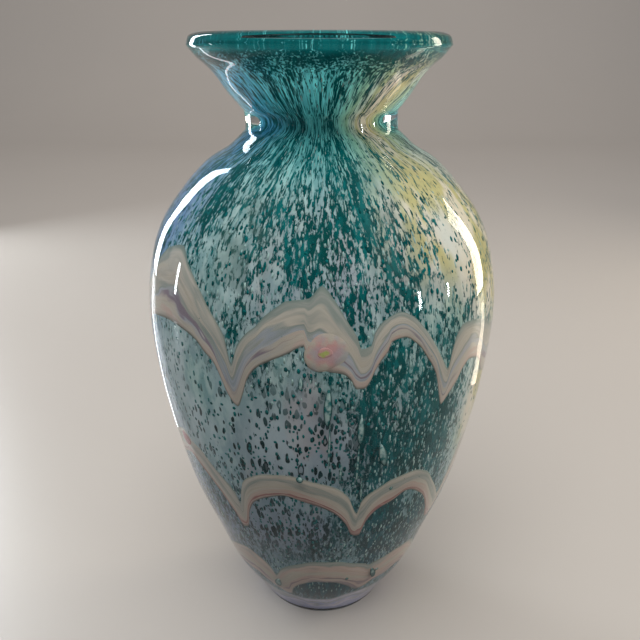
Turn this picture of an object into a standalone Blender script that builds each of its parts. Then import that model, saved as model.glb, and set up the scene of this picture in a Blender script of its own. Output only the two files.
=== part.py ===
"""Hand blown art glass vase, 254 mm tall, built as the lays of glass that a blower puts on.

From the inside out: a clear blown core, a pale opal coat, a teal frit coat, three combed garland
trails, a wrap round the heel and three inlaid bits of colour, all under one thick clear casing that
is gathered over the ends of the coats at the lip. The vase stands on its foot ring at z = 0, with
+Z up its axis and -Y to its front.

Run with: blender --background --python part.py
"""

import math

import bmesh
import bpy
from mathutils import Vector

MM = 0.001

# Outer form, in metres
HEIGHT = 0.254
FOOT_RADIUS = 0.0227  # outer edge of the flat ring that the vase stands on
FOOT_RING_WIDTH = 0.007
PUNT_DEPTH = 0.0015  # hollow pressed into the middle of the foot
HEEL_RADIUS = 0.0301  # where the rounded heel meets the wall
HEEL_HEIGHT = 0.0063
BELLY_RADIUS = 0.0720
BELLY_HEIGHT = 0.1510
NECK_RADIUS = 0.0298  # outside of the short straight neck band
NECK_BOTTOM = 0.2197
NECK_TOP = 0.2259
LIP_RADIUS = 0.0497
LIP_DROP = 0.0043  # from the top of the rim down to its widest ring
LIP_ROLL = 0.0078  # width of the solid clear roll outside the ends of the coats

# Lays of glass
CASING_WALL = 0.0040  # clear glass over the colour on the body
FLOOR_COVER = 0.0046  # clear glass under the colour at the foot
COLOUR_NECK_RADIUS = 0.0159  # outside of the frit coat at the waist
COLOUR_END_DROP = 0.0067  # from the top of the rim down to the ends of the coats
FRIT_WALL = 0.0006
OPAL_WALL = 0.0006
CORE_WALL = 0.0018
TRAIL_THICKNESS = 0.0010
WRAP_THICKNESS = 0.0010
BIT_THICKNESS = 0.0016
EYE_THICKNESS = 0.0008
GAP = 0.0003  # clearance between one lay and the next

# The wrap round the heel
WRAP_TOP = 0.0160
WRAP_INNER_RADIUS = 0.0170

# Inlaid bits: angle from the front in degrees, height, half width, half height
PINK_BIT_ANGLE = 1.2
PINK_BIT_HEIGHT = 0.1560
PINK_BIT_HALF_WIDTH = 0.0077
PINK_BIT_HALF_HEIGHT = 0.0083
GREEN_EYE_RADIUS = 0.0022
CRIMSON_BIT_ANGLE = -58.0
CRIMSON_BIT_HEIGHT = 0.1010
CRIMSON_BIT_HALF_WIDTH = 0.0043
CRIMSON_BIT_HALF_HEIGHT = 0.0040

# How the wall runs between the sizes above: (share of the rise, share of the swell)
HEEL_TO_BELLY = ((0.15, 0.31), (0.29, 0.50), (0.45, 0.70), (0.63, 0.85), (0.82, 0.96))
BELLY_TO_NECK = ((0.29, 0.064), (0.50, 0.19), (0.68, 0.40), (0.82, 0.62), (0.90, 0.83), (0.96, 0.94))
NECK_TO_LIP = ((0.15, 0.13), (0.33, 0.30), (0.53, 0.46), (0.69, 0.63), (0.83, 0.83))
COLOUR_TO_WAIST = ((0.32, 0.30), (0.54, 0.60), (0.72, 0.82), (0.89, 0.96))
WAIST_TO_COLOUR_END = ((0.19, 0.06), (0.40, 0.24), (0.64, 0.50), (0.86, 0.78))
SHOULDER_POINTS_CASED = 3  # points of BELLY_TO_NECK where the casing still has its body thickness

# Garlands, each combed down at its tips: (angle from the front in degrees, top, bottom) in mm.
# A garland's crowns stand between its tips, in the same order and starting after the first tip.
UPPER_TIPS = (
    (-138.0, 148.0, 131.0), (-95.0, 149.0, 131.0), (-26.5, 147.0, 130.0), (11.4, 154.5, 139.5),
    (40.8, 141.0, 125.5), (83.0, 146.0, 128.0), (124.0, 150.0, 133.0), (170.0, 143.0, 127.0),
)
UPPER_CROWNS = (
    (-116.0, 170.0, 155.0), (-56.0, 176.5, 155.0), (-6.0, 172.0, 154.5), (23.0, 165.5, 157.0),
    (56.0, 155.5, 139.5), (103.0, 166.0, 150.0), (147.0, 170.0, 154.0), (196.0, 168.0, 152.0),
)
MIDDLE_TIPS = (
    (-128.0, 79.0, 65.0), (-84.0, 82.0, 68.0), (-33.5, 81.0, 66.5), (13.0, 81.5, 67.0),
    (56.0, 74.0, 60.0), (98.0, 80.0, 66.0), (140.0, 77.0, 62.0), (184.0, 82.0, 67.0),
)
MIDDLE_CROWNS = (
    (-106.0, 103.0, 90.0), (-60.0, 106.0, 92.5), (-12.0, 101.7, 90.5), (32.0, 98.0, 87.5),
    (79.0, 103.0, 91.0), (119.0, 99.0, 87.0), (162.0, 101.0, 90.0), (208.0, 98.0, 87.0),
)
LOWER_TIPS = (
    (-118.0, 39.0, 22.0), (-78.0, 34.0, 20.0), (-25.0, 35.5, 19.5), (25.0, 44.3, 24.5),
    (72.0, 35.0, 19.5), (128.0, 38.0, 21.0), (190.0, 36.0, 20.0),
)
LOWER_CROWNS = (
    (-98.0, 48.0, 33.0), (-49.0, 49.5, 31.0), (0.0, 51.5, 35.3), (46.0, 48.5, 31.5),
    (100.0, 50.0, 34.0), (159.0, 48.0, 32.0), (216.0, 50.0, 34.0),
)
ARCH_POWER = 2.6  # how flat an arch runs before it falls to its tips

# Fineness of the solids
FACETS = 24
TRAIL_STATIONS = 72
TRAIL_ROWS = 2
DISC_SIDES = 14
CURVE_STEPS = 12  # points in each span of the smooth line that the trails follow
WRAP_STRIDE = 3  # one point of that line in three shapes the wrap
CUTTER_SINK = 0.0015  # how far a cutter reaches below the colour, past the casing's inner facets
STEEPEST_EDGE = 3.0  # most that a cutter's margin grows where a trail's edge is steep

# Colours: red, green, blue, roughness and how clear the glass is
GLASSES = {
    "clear_casing": (0.86, 0.93, 0.93, 0.03, 1.0),
    "core_gather": (0.80, 0.90, 0.90, 0.05, 1.0),
    "frit_coat": (0.015, 0.13, 0.13, 0.25, 0.0),
    "opal_coat": (0.36, 0.50, 0.50, 0.30, 0.0),
    "upper_trail": (0.52, 0.48, 0.40, 0.30, 0.0),
    "middle_trail": (0.48, 0.43, 0.38, 0.30, 0.0),
    "lower_trail": (0.44, 0.36, 0.34, 0.30, 0.0),
    "base_wrap": (0.36, 0.32, 0.43, 0.30, 0.0),
    "pink_bit": (0.50, 0.30, 0.30, 0.30, 0.0),
    "green_eye": (0.42, 0.45, 0.16, 0.30, 0.0),
    "crimson_bit": (0.28, 0.03, 0.06, 0.30, 0.0),
}


def clear_scene():
    for obj in list(bpy.data.objects):
        bpy.data.objects.remove(obj, do_unlink=True)


def new_collection(name, hidden):
    collection = bpy.data.collections.new(name)
    collection.hide_render = hidden
    bpy.context.scene.collection.children.link(collection)
    return collection


def glass(name):
    red, green, blue, roughness, clearness = GLASSES[name]
    material = bpy.data.materials.new(name)
    material.use_nodes = True
    shader = material.node_tree.nodes["Principled BSDF"]
    shader.inputs["Base Color"].default_value = (red, green, blue, 1.0)
    shader.inputs["Roughness"].default_value = roughness
    shader.inputs["Metallic"].default_value = 0.0
    shader.inputs["Transmission Weight"].default_value = clearness
    return material


def between(start, end, shares):
    """Points from start to end, leaving both out, each at its share of the rise and of the swell."""
    rise = end.y - start.y
    swell = end.x - start.x
    return [Vector((start.x + swell * across, start.y + rise * up)) for up, across in shares]


def side_at(points, i):
    """Unit vector across a line of (radius, height) at point i, towards the outside of the vase."""
    before = points[max(i - 1, 0)]
    after = points[min(i + 1, len(points) - 1)]
    first = (points[i] - before).normalized() if i else (after - points[i]).normalized()
    second = (after - points[i]).normalized() if i < len(points) - 1 else first
    along = (first + second).normalized()
    return Vector((along.y, -along.x)), first.dot(along)


def offset(points, distance):
    """The line moved outwards by a distance, with its corners mitred."""
    moved = []
    for i, point in enumerate(points):
        side, share = side_at(points, i)
        moved.append(point + side * (distance / share))
    return moved


def smooth(points, steps):
    """A Catmull-Rom curve through the points."""
    ends = [points[0] * 2 - points[1]] + points + [points[-1] * 2 - points[-2]]
    curve = []
    for a, b, c, d in zip(ends, ends[1:], ends[2:], ends[3:]):
        for step in range(steps):
            t = step / steps
            curve.append(
                b + (c - a) * (t / 2) + (a * 2 - b * 5 + c * 4 - d) * (t * t / 2)
                + (b * 3 - a - c * 3 + d) * (t ** 3 / 2)
            )
    return curve + [points[-1]]


def wall_line():
    """The outside of the vase as (radius, height), from the heel up to the widest ring of the lip."""
    heel = Vector((HEEL_RADIUS, HEEL_HEIGHT))
    belly = Vector((BELLY_RADIUS, BELLY_HEIGHT))
    neck_low = Vector((NECK_RADIUS, NECK_BOTTOM))
    neck_high = Vector((NECK_RADIUS, NECK_TOP))
    lip = Vector((LIP_RADIUS, HEIGHT - LIP_DROP))
    body = [heel] + between(heel, belly, HEEL_TO_BELLY) + [belly]
    shoulder = between(belly, neck_low, BELLY_TO_NECK)
    flare = between(neck_high, lip, NECK_TO_LIP)
    return body, shoulder, [neck_low, neck_high] + flare + [lip]


def colour_line():
    """The outside of the frit coat, from the axis under the floor up to the ends of the coats."""
    body, shoulder, _ = wall_line()
    cased = offset(body + shoulder, -CASING_WALL)[: len(body) + SHOULDER_POINTS_CASED]
    waist = Vector((COLOUR_NECK_RADIUS, (NECK_BOTTOM + NECK_TOP) / 2))
    end = Vector((LIP_RADIUS - LIP_ROLL, HEIGHT - COLOUR_END_DROP))
    heel_edge = Vector((cased[0].x - CASING_WALL / 2, FLOOR_COVER))
    floor = [Vector((0.0, FLOOR_COVER)), Vector((WRAP_INNER_RADIUS, FLOOR_COVER)), heel_edge]
    neck = between(cased[-1], waist, COLOUR_TO_WAIST) + [waist]
    return floor + cased + neck + between(waist, end, WAIST_TO_COLOUR_END) + [end]


def linked(obj, name, collection, hidden):
    obj.name = name
    obj.data.name = name
    collection.objects.link(obj)
    if hidden:
        obj.hide_render = True
        obj.display_type = "WIRE"
    else:
        obj.data.materials.append(glass(name))
    return obj


def turned(name, profile, closed, collection, hidden=False):
    """A solid of revolution from a profile that runs down its outer side."""
    mesh = bpy.data.meshes.new(name)
    edges = [(i, i + 1) for i in range(len(profile) - 1)]
    if closed:
        edges.append((len(profile) - 1, 0))
    mesh.from_pydata([(point.x, 0.0, point.y) for point in profile], edges, [])
    obj = linked(bpy.data.objects.new(name, mesh), name, collection, hidden)
    screw = obj.modifiers.new("turn", "SCREW")
    screw.axis = "Z"
    screw.angle = math.tau
    screw.steps = FACETS
    screw.render_steps = FACETS
    screw.use_merge_vertices = True
    screw.merge_threshold = 0.00001
    screw.use_smooth_shade = True
    return obj


def coat(name, outside, thickness, collection):
    """A cup shaped lay of glass whose outside is the given line."""
    inside = offset(outside, -thickness)
    return turned(name, inside + outside[::-1], False, collection)


def clear_casing(colour, stack, collection):
    """The clear outer gather, with its solid lip rolled over the ends of the lays inside it."""
    body, shoulder, top = wall_line()
    cavity = offset(colour, GAP)
    bore = offset(colour, -stack)
    along = (colour[-1] - colour[-2]).normalized()
    over_ends = [cavity[-1] + along * GAP, bore[-1] + along * GAP]
    lip = top[-1]
    inner_roll = [
        over_ends[-1].lerp(Vector((lip.x - LIP_DROP, HEIGHT)), 0.45) + Vector((0.0, LIP_DROP / 4)),
        Vector((lip.x - LIP_DROP * 0.9, HEIGHT)),
        Vector((lip.x - LIP_DROP * 0.25, HEIGHT - LIP_DROP * 0.3)),
    ]
    foot = [
        Vector((HEEL_RADIUS - (HEEL_RADIUS - FOOT_RADIUS) * 0.28, HEEL_HEIGHT / 3)),
        Vector((FOOT_RADIUS, 0.0)),
        Vector((FOOT_RADIUS - FOOT_RING_WIDTH, 0.0)),
        Vector((0.0, PUNT_DEPTH)),
    ]
    profile = cavity[:-1] + over_ends + inner_roll + top[::-1] + shoulder[::-1] + body[::-1] + foot
    return turned("clear_casing", profile, False, collection)


def heel_stretch(curve, margin):
    """The stretch of the frit coat that the base wrap covers, run on past both ends by a margin."""
    inner_radius = WRAP_INNER_RADIUS - margin
    top = WRAP_TOP + margin
    first = next(i for i, point in enumerate(curve) if point.x > inner_radius)
    last = next(i for i, point in enumerate(curve) if point.x > inner_radius and point.y > top)
    start = Vector((inner_radius, curve[first].y))
    share = (top - curve[last - 1].y) / (curve[last].y - curve[last - 1].y)
    return [start] + curve[first + 1 : last - 1 : WRAP_STRIDE] + [curve[last - 1].lerp(curve[last], share)]


def base_wrap(name, curve, low, high, margin, collection, hidden=False):
    """The ring that lies round the heel of the frit coat, between two distances from it."""
    stretch = heel_stretch(curve, margin)
    profile = offset(stretch, low) + offset(stretch, high)[::-1]
    return turned(name, profile, True, collection, hidden)


def surface_point(curve, angle, height, lift):
    """The place on the frit coat at an angle from the front and a height, moved outwards by lift."""
    i = next(i for i, point in enumerate(curve) if point.x > NECK_RADIUS and point.y >= height)
    share = (height - curve[i - 1].y) / (curve[i].y - curve[i - 1].y)
    side, _ = side_at(curve, i)
    place = curve[i - 1].lerp(curve[i], share) + side * lift
    return Vector((place.x * math.sin(angle), -place.x * math.cos(angle), place.y))


def garland_edges(tips, crowns, angle):
    """The heights of a garland's top and bottom edges, in metres, at an angle in degrees."""
    for i, tip in enumerate(tips):
        crown = crowns[i]
        after = tips[(i + 1) % len(tips)]
        past_tip = (angle - tip[0]) % 360.0
        to_crown = (crown[0] - tip[0]) % 360.0
        to_after = (after[0] - tip[0]) % 360.0
        if past_tip > to_after:
            continue
        low = tip if past_tip <= to_crown else after
        reach = to_crown if past_tip <= to_crown else to_after - to_crown
        fall = (abs(past_tip - to_crown) / reach) ** ARCH_POWER
        return [(crown[k] + (low[k] - crown[k]) * fall) * MM for k in (1, 2)]
    raise ValueError("the garland has no arch at this angle")


def solidified(bm, name, thickness, collection, hidden):
    """An open surface turned to face outwards and given its thickness on the outside."""
    bm.normal_update()
    bm.faces.ensure_lookup_table()
    face = bm.faces[0]
    middle = face.calc_center_median()
    if face.normal.dot(Vector((middle.x, middle.y, 0.0))) < 0.0:
        bmesh.ops.reverse_faces(bm, faces=bm.faces[:])
    mesh = bpy.data.meshes.new(name)
    bm.to_mesh(mesh)
    bm.free()
    mesh.shade_smooth()
    obj = linked(bpy.data.objects.new(name, mesh), name, collection, hidden)
    wall = obj.modifiers.new("thickness", "SOLIDIFY")
    wall.thickness = thickness
    wall.offset = 1.0
    wall.use_even_offset = True
    return obj


def edge_slant(height, heights_around, across):
    """How much further up or down an edge is moved, to be moved by one across its own slope."""
    climb = max(abs(other - height) for other in heights_around)
    return min(math.hypot(1.0, climb / across), STEEPEST_EDGE)


def garland(name, curve, tips, crowns, low, high, margin, collection, hidden=False):
    """A trail wound round the frit coat and combed into arches, between two distances from it."""
    bm = bmesh.new()
    bmesh.ops.create_circle(bm, segments=TRAIL_STATIONS, radius=1.0)
    edges = bm.edges[:]
    for _ in range(TRAIL_ROWS):
        raised = bmesh.ops.extrude_edge_only(bm, edges=edges)["geom"]
        edges = [item for item in raised if isinstance(item, bmesh.types.BMEdge)]
        rim = [item for item in raised if isinstance(item, bmesh.types.BMVert)]
        bmesh.ops.translate(bm, verts=rim, vec=(0.0, 0.0, 1.0))
    step = 360.0 / TRAIL_STATIONS
    for vert in bm.verts:
        angle = math.degrees(math.atan2(vert.co.x, -vert.co.y))
        top, bottom = garland_edges(tips, crowns, angle)
        across = surface_point(curve, 0.0, top, 0.0).to_2d().length * math.radians(step)
        around = [garland_edges(tips, crowns, angle + turn) for turn in (-step, step)]
        top += margin * edge_slant(top, [edge[0] for edge in around], across)
        bottom -= margin * edge_slant(bottom, [edge[1] for edge in around], across)
        height = bottom + (top - bottom) * vert.co.z / TRAIL_ROWS
        vert.co = surface_point(curve, math.radians(angle), height, low)
    bmesh.ops.triangulate(bm, faces=bm.faces[:], quad_method="SHORT_EDGE")
    return solidified(bm, name, high - low, collection, hidden)


def bit(name, curve, angle, height, half_width, half_height, low, high, collection, hidden=False):
    """A flattened bit of colour laid on the frit coat, between two distances from it."""
    bm = bmesh.new()
    bmesh.ops.create_circle(bm, segments=DISC_SIDES, radius=1.0, cap_ends=True, cap_tris=True)
    radius = surface_point(curve, 0.0, height, 0.0).to_2d().length
    for vert in bm.verts:
        turn = math.radians(angle) + vert.co.x * half_width / radius
        vert.co = surface_point(curve, turn, height + vert.co.y * half_height, low)
    return solidified(bm, name, high - low, collection, hidden)


def cut(obj, cutters):
    for cutter in cutters:
        groove = obj.modifiers.new("groove_" + cutter.name, "BOOLEAN")
        groove.operation = "DIFFERENCE"
        groove.solver = "EXACT"
        groove.object = cutter


def build():
    clear_scene()
    parts = new_collection("art_glass_vase", False)
    cutters = new_collection("cutters", True)

    colour = colour_line()
    curve = smooth(colour, CURVE_STEPS)
    opal_line = offset(colour, -(FRIT_WALL + GAP))
    core_line = offset(opal_line, -(OPAL_WALL + GAP))
    stack = FRIT_WALL + OPAL_WALL + CORE_WALL + 2 * GAP

    coat("core_gather", core_line, CORE_WALL, parts)
    coat("opal_coat", opal_line, OPAL_WALL, parts)
    coat("frit_coat", colour, FRIT_WALL, parts)
    casing = clear_casing(colour, stack, parts)

    base_wrap("base_wrap", curve, GAP, GAP + WRAP_THICKNESS, 0.0, parts)
    casing_cutters = [
        base_wrap("wrap_cutter", curve, -CUTTER_SINK, WRAP_THICKNESS + 2 * GAP, GAP, cutters, True)
    ]

    trails = {}
    for name, tips, crowns in (
        ("upper_trail", UPPER_TIPS, UPPER_CROWNS),
        ("middle_trail", MIDDLE_TIPS, MIDDLE_CROWNS),
        ("lower_trail", LOWER_TIPS, LOWER_CROWNS),
    ):
        top = GAP + TRAIL_THICKNESS
        trails[name] = garland(name, curve, tips, crowns, GAP, top, 0.0, parts)
        casing_cutters.append(
            garland(name + "_cutter", curve, tips, crowns, -CUTTER_SINK, top + GAP, GAP, cutters, True)
        )

    pink_place = (PINK_BIT_ANGLE, PINK_BIT_HEIGHT, PINK_BIT_HALF_WIDTH, PINK_BIT_HALF_HEIGHT)
    crimson_place = (
        CRIMSON_BIT_ANGLE, CRIMSON_BIT_HEIGHT, CRIMSON_BIT_HALF_WIDTH, CRIMSON_BIT_HALF_HEIGHT
    )
    bit_top = GAP + BIT_THICKNESS
    for name, place, trail in (
        ("pink_bit", pink_place, trails["upper_trail"]),
        ("crimson_bit", crimson_place, trails["middle_trail"]),
    ):
        angle, height, half_width, half_height = place
        laid = bit(name, curve, angle, height, half_width, half_height, GAP, bit_top, parts)
        cutter = bit(
            name + "_cutter", curve, angle, height, half_width + GAP, half_height + GAP,
            -CUTTER_SINK, bit_top + GAP, cutters, True,
        )
        cut(trail, [cutter])
        casing_cutters.append(cutter)
        if name == "pink_bit":
            pink = laid

    eye_low = bit_top - EYE_THICKNESS
    bit(
        "green_eye", curve, PINK_BIT_ANGLE, PINK_BIT_HEIGHT, GREEN_EYE_RADIUS, GREEN_EYE_RADIUS,
        eye_low, bit_top, parts,
    )
    pocket = bit(
        "eye_cutter", curve, PINK_BIT_ANGLE, PINK_BIT_HEIGHT, GREEN_EYE_RADIUS + GAP,
        GREEN_EYE_RADIUS + GAP, eye_low - GAP, bit_top + GAP, cutters, True,
    )
    cut(pink, [pocket])
    cut(casing, casing_cutters)


build()
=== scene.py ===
import math

import bmesh
import bpy
import numpy as np
from bpy.props import FloatProperty, FloatVectorProperty, IntProperty, PointerProperty
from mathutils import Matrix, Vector


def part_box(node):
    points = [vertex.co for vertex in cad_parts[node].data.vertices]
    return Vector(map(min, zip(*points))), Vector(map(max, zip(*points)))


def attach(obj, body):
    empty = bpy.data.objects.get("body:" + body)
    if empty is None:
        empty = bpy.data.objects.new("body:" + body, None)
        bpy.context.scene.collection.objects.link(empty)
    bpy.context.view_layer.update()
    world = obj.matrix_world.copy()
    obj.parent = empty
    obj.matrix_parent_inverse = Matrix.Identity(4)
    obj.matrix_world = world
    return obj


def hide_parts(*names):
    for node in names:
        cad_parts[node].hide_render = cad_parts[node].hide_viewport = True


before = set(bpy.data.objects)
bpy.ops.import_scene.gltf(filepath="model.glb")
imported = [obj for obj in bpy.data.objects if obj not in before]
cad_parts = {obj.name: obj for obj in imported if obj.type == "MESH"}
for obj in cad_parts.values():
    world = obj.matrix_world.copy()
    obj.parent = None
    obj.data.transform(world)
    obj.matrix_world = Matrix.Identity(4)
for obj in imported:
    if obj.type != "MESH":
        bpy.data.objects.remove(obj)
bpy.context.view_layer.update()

bl_info = {
    "name": "Hand Blown Art Glass Vase",
    "version": (1, 0, 0),
    "blender": (4, 5, 0),
    "location": "View3D > Sidebar > Vase",
    "description": "Builds the lays of glass of a hand blown vase round its packed frame",
    "category": "Add Mesh",
}

MM = 0.001
BODY = "root"
CASING_TOP_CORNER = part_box("clear_casing")[1]
HEIGHT = CASING_TOP_CORNER.z

# How fine the meshes are
SHELL_SIDES = 160
SHELL_SPACING = 3.0 * MM
GARLAND_STATIONS = 720
WRAP_STATIONS = 480
BIT_STATIONS = 56
SEED_HOST_SIDES = 96

# How deep the edges and the back of a trail are sunk under the outside of the frit
EDGE_SINK = 0.12 * MM
BACK_SINK = 0.3 * MM

# The frit pattern: how far the chips are drawn out, more so where the shoulder narrows and hardly
# under the rim, and which share of the coat they cover
CHIP_STRETCH = 2.7
NECK_STRETCH = 2.4
RIM_RELEASE = 0.82
FLOW_RADIUS = 0.060
NARROWING = (0.056, 0.020)
UNDER_RIM = (16.0 * MM, 8.0 * MM)
COVER_SHARE = 0.455

# Heights over which the frit's colours change, from none to all: painted shade low on the body, the neck's
# teal cast with painted light on it, and painted light in the flare
LOW_BODY_SHADE = (0.02, 0.15)
NECK_ZONE = (0.196, 0.222)
FLARE_START = (0.224, 0.238)
FLARE_END = (0.242, 0.249)

# How the wall runs between its main sizes: (share of the rise, share of the swell)
HEEL_TO_BELLY = ((0.15, 0.31), (0.29, 0.50), (0.45, 0.70), (0.63, 0.85), (0.82, 0.96))
BELLY_TO_NECK = ((0.29, 0.064), (0.50, 0.19), (0.68, 0.40), (0.82, 0.62), (0.90, 0.83), (0.96, 0.94))
NECK_TO_LIP = ((0.15, 0.13), (0.33, 0.30), (0.53, 0.46), (0.69, 0.63), (0.83, 0.83))
COLOUR_TO_WAIST = ((0.32, 0.30), (0.54, 0.60), (0.72, 0.82), (0.89, 0.96))
WAIST_TO_COLOUR_END = ((0.19, 0.06), (0.40, 0.24), (0.64, 0.50), (0.86, 0.78))
# How many points of the shoulder keep the full wall of the casing
SHOULDER_POINTS_CASED = 3

# Edges of the garlands as the comb left them in front: (angle from the front in degrees, height in mm)
UPPER_TOP = (
    (-72, 166), (-66, 174), (-59, 180), (-52, 182), (-46, 177), (-40, 171), (-36, 166), (-32, 161),
    (-29, 156), (-27, 147), (-25, 154), (-22, 159), (-19, 162), (-17, 165), (-14, 168), (-10, 171),
    (-4, 172), (0, 176), (4, 171), (6, 167), (8, 163), (10, 159), (11, 155), (14, 156), (15, 160),
    (17, 163), (20, 165), (23, 166), (27, 164), (31, 159), (35, 152), (38, 146), (41, 141), (42, 147),
    (44, 153), (48, 156), (55, 155), (62, 152), (69, 148),
)
UPPER_BOTTOM = (
    (-64, 153), (-52, 155), (-45, 154), (-40, 152), (-37, 149), (-33, 145), (-31, 140), (-29, 134),
    (-26, 130), (-24, 135), (-22, 142), (-19, 147), (-15, 150), (-10, 153), (-5, 156), (-4, 151),
    (-2, 149), (2, 147), (6, 146), (8, 144), (10, 140), (12, 140), (14, 143), (15, 146), (17, 150),
    (19, 153), (20, 156), (24, 157), (29, 153), (32, 148), (36, 140), (38, 132), (40, 126), (42, 128),
    (46, 133), (49, 138), (52, 140), (58, 138), (67, 128), (69, 128),
)
MIDDLE_TOP = (
    (-57, 106), (-54, 103), (-48, 101), (-43, 96), (-38, 91), (-34, 86), (-33, 81), (-31, 88),
    (-29, 94), (-25, 98), (-19, 101), (-11, 102), (-4, 100), (4, 97), (9, 92), (13, 82), (14, 88),
    (17, 92), (20, 94), (25, 97), (33, 98), (41, 94), (46, 87), (52, 79), (56, 74), (59, 84), (62, 96),
)
MIDDLE_BOTTOM = (
    (-57, 94), (-49, 89), (-44, 84), (-40, 78), (-37, 72), (-35, 66), (-32, 68), (-29, 78), (-26, 84),
    (-21, 88), (-13, 91), (-7, 89), (0, 86), (5, 82), (9, 76), (12, 69), (15, 68), (17, 76), (21, 82),
    (27, 85), (32, 88), (42, 81), (48, 71), (53, 62), (56, 60), (59, 66), (62, 74),
)
LOWER_TOP = (
    (-51, 46), (-41, 49), (-34, 46), (-28, 40), (-27, 36), (-22, 42), (-12, 48), (-3, 51), (6, 51),
    (16, 48), (22, 46), (25, 44), (28, 45), (33, 46), (42, 48), (49, 48),
)
LOWER_BOTTOM = (
    (-51, 31), (-42, 31), (-36, 27), (-30, 23), (-25, 20), (-22, 20), (-18, 27), (-12, 32), (-3, 35),
    (7, 34), (15, 30), (19, 27), (22, 25), (25, 25), (33, 29), (42, 30), (49, 32),
)
WRAP_EDGE = (
    (-60, 21), (-44, 22), (-34, 20), (-22, 19), (-9, 18), (5, 18), (18, 22), (26, 23), (36, 23),
    (60, 20), (110, 22), (160, 19), (210, 22), (260, 20),
)

# The arches behind, as tips and crowns by turns: (angle, top, bottom)
UPPER_BACK = (
    (83, 146, 128), (103, 166, 150), (124, 150, 133), (147, 170, 154), (170, 143, 127), (196, 168, 152),
    (222, 148, 131), (244, 170, 155), (265, 149, 131),
)
MIDDLE_BACK = (
    (79, 103, 91), (98, 80, 66), (119, 99, 87), (140, 77, 62), (162, 101, 90), (184, 82, 67),
    (208, 98, 87), (232, 79, 65), (254, 103, 90), (276, 82, 68), (291, 101, 89),
)
LOWER_BACK = (
    (72, 35, 19.5), (100, 50, 34), (128, 38, 21), (159, 48, 32), (190, 36, 20), (216, 50, 34),
    (242, 39, 22), (262, 48, 33), (282, 34, 20),
)
ARCH_POWER = 2.6

# Where the frit lies differently: (angle, height in mm, half width in degrees, half height in mm, strength)
COVER_PATCHES = (
    (0, 234, 400, 12, -0.04), (0, 251, 400, 5, 0.34), (0, 198, 50, 16, 0.11), (-6, 172, 26, 14, 0.06),
    (-28, 172, 16, 13, -0.16), (-8, 185, 12, 12, 0.06), (20, 190, 14, 16, 0.10),
    (30, 176, 10, 10, 0.04), (50, 186, 20, 20, -0.14), (30, 170, 8, 12, 0.08),
    (-24, 118, 26, 24, -0.30), (-46, 126, 18, 28, -0.34), (4, 122, 10, 22, -0.08),
    (24, 118, 20, 34, 0.36), (44, 112, 10, 26, 0.14), (-22, 74, 26, 14, -0.08), (-8, 62, 14, 10, 0.10),
    (22, 68, 24, 16, 0.26), (48, 60, 18, 22, 0.22), (0, 28, 24, 8, 0.60), (-46, 60, 14, 20, 0.14),
    (62, 106, 12, 24, -0.26), (32, 240, 20, 12, 0.12),
)
DOT_PATCHES = (
    (-20, 112, 26, 34, 1.0), (-20, 70, 34, 16, 0.85), (4, 112, 10, 24, 0.6), (-50, 120, 20, 30, 0.5),
    (150, 110, 60, 36, 0.7), (230, 90, 40, 30, 0.8),
)
LILAC_PATCHES = (
    (-12, 112, 22, 26, 0.95), (-20, 70, 30, 18, 0.9), (6, 170, 14, 10, 0.5), (12, 120, 10, 24, 0.55),
    (26, 128, 12, 10, 0.45), (36, 180, 16, 14, 0.55), (160, 100, 50, 40, 0.7), (-60, 45, 26, 24, 0.6),
    (0, 184, 30, 20, 0.40),
)
# Painted gold sheen on the right, over paler glass where the chips are sparse
GOLD_SHEEN_PATCHES = (
    (52, 192, 30, 24, 1.0), (52, 228, 30, 16, 0.9), (66, 170, 16, 22, 0.8), (65, 116, 9, 20, 1.5),
    (44, 190, 12, 12, 0.45), (70, 246, 40, 10, 0.6), (84, 165, 14, 40, 0.8),
)
# Painted blue sheen on the left
BLUE_SHEEN_PATCHES = (
    (-78, 196, 28, 26, 1.1), (-66, 225, 26, 18, 0.55), (-72, 150, 14, 40, 0.7), (-70, 104, 16, 34, 0.6),
    (-70, 246, 40, 10, 0.5), (-62, 64, 22, 28, 0.75),
)
PALE_PATCHES = (
    (-14, 116, 9, 16, 0.6), (-48, 124, 16, 28, 1.0), (-8, 188, 14, 8, 0.3), (-26, 176, 10, 10, 0.45),
    (44, 186, 10, 12, 0.5), (10, 124, 4, 10, 0.3), (170, 120, 20, 14, 0.4), (235, 100, 16, 20, 0.4),
)
SMEAR_PATCHES = (
    (-27, 184, 9, 16, 0.8), (24, 192, 8, 18, 0.55), (-40, 166, 7, 8, 0.3), (8, 60, 10, 10, 0.3),
)

# Long tear bubbles: (angle, height in mm, half width in mm, half height in mm, slant in degrees)
TEARS = (
    (1.7, 134, 1.5, 7.8, 2), (11.6, 123.5, 1.4, 6.0, 0), (19.5, 111, 1.7, 5.6, -14),
    (-6, 143, 0.8, 2.6, 3), (2.2, 117, 0.45, 11, 1), (11.4, 108, 0.6, 9, 0), (13.4, 95, 0.4, 8, -2),
    (23, 128, 0.5, 5, -3), (6, 104, 0.6, 5, 2), (29, 37, 1.3, 4.6, -20), (-27, 30, 1.6, 4.0, 18),
    (138, 120, 1.1, 5.6, 4), (205, 140, 1.2, 6.0, -5),
)
# Round seeds that catch the eye: (angle, height in mm, half width in mm)
ROUND_SEEDS = (
    (-7.3, 101.4, 1.3), (31, 38.6, 0.8), (13.5, 37.5, 0.7), (-5, 31, 0.5), (20, 96, 0.6),
    (24.5, 93, 0.7), (9, 66, 0.5), (40, 121, 0.5), (11, 126, 0.5), (-29, 122, 0.8), (28, 172, 0.5),
    (37, 175, 0.6), (-34, 88, 0.5),
)


def colour(name, description, value):
    """A colour property of the add-on."""
    return FloatVectorProperty(
        name=name, description=description, default=value, size=3, min=0.0, max=1.0, subtype="COLOR"
    )


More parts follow.
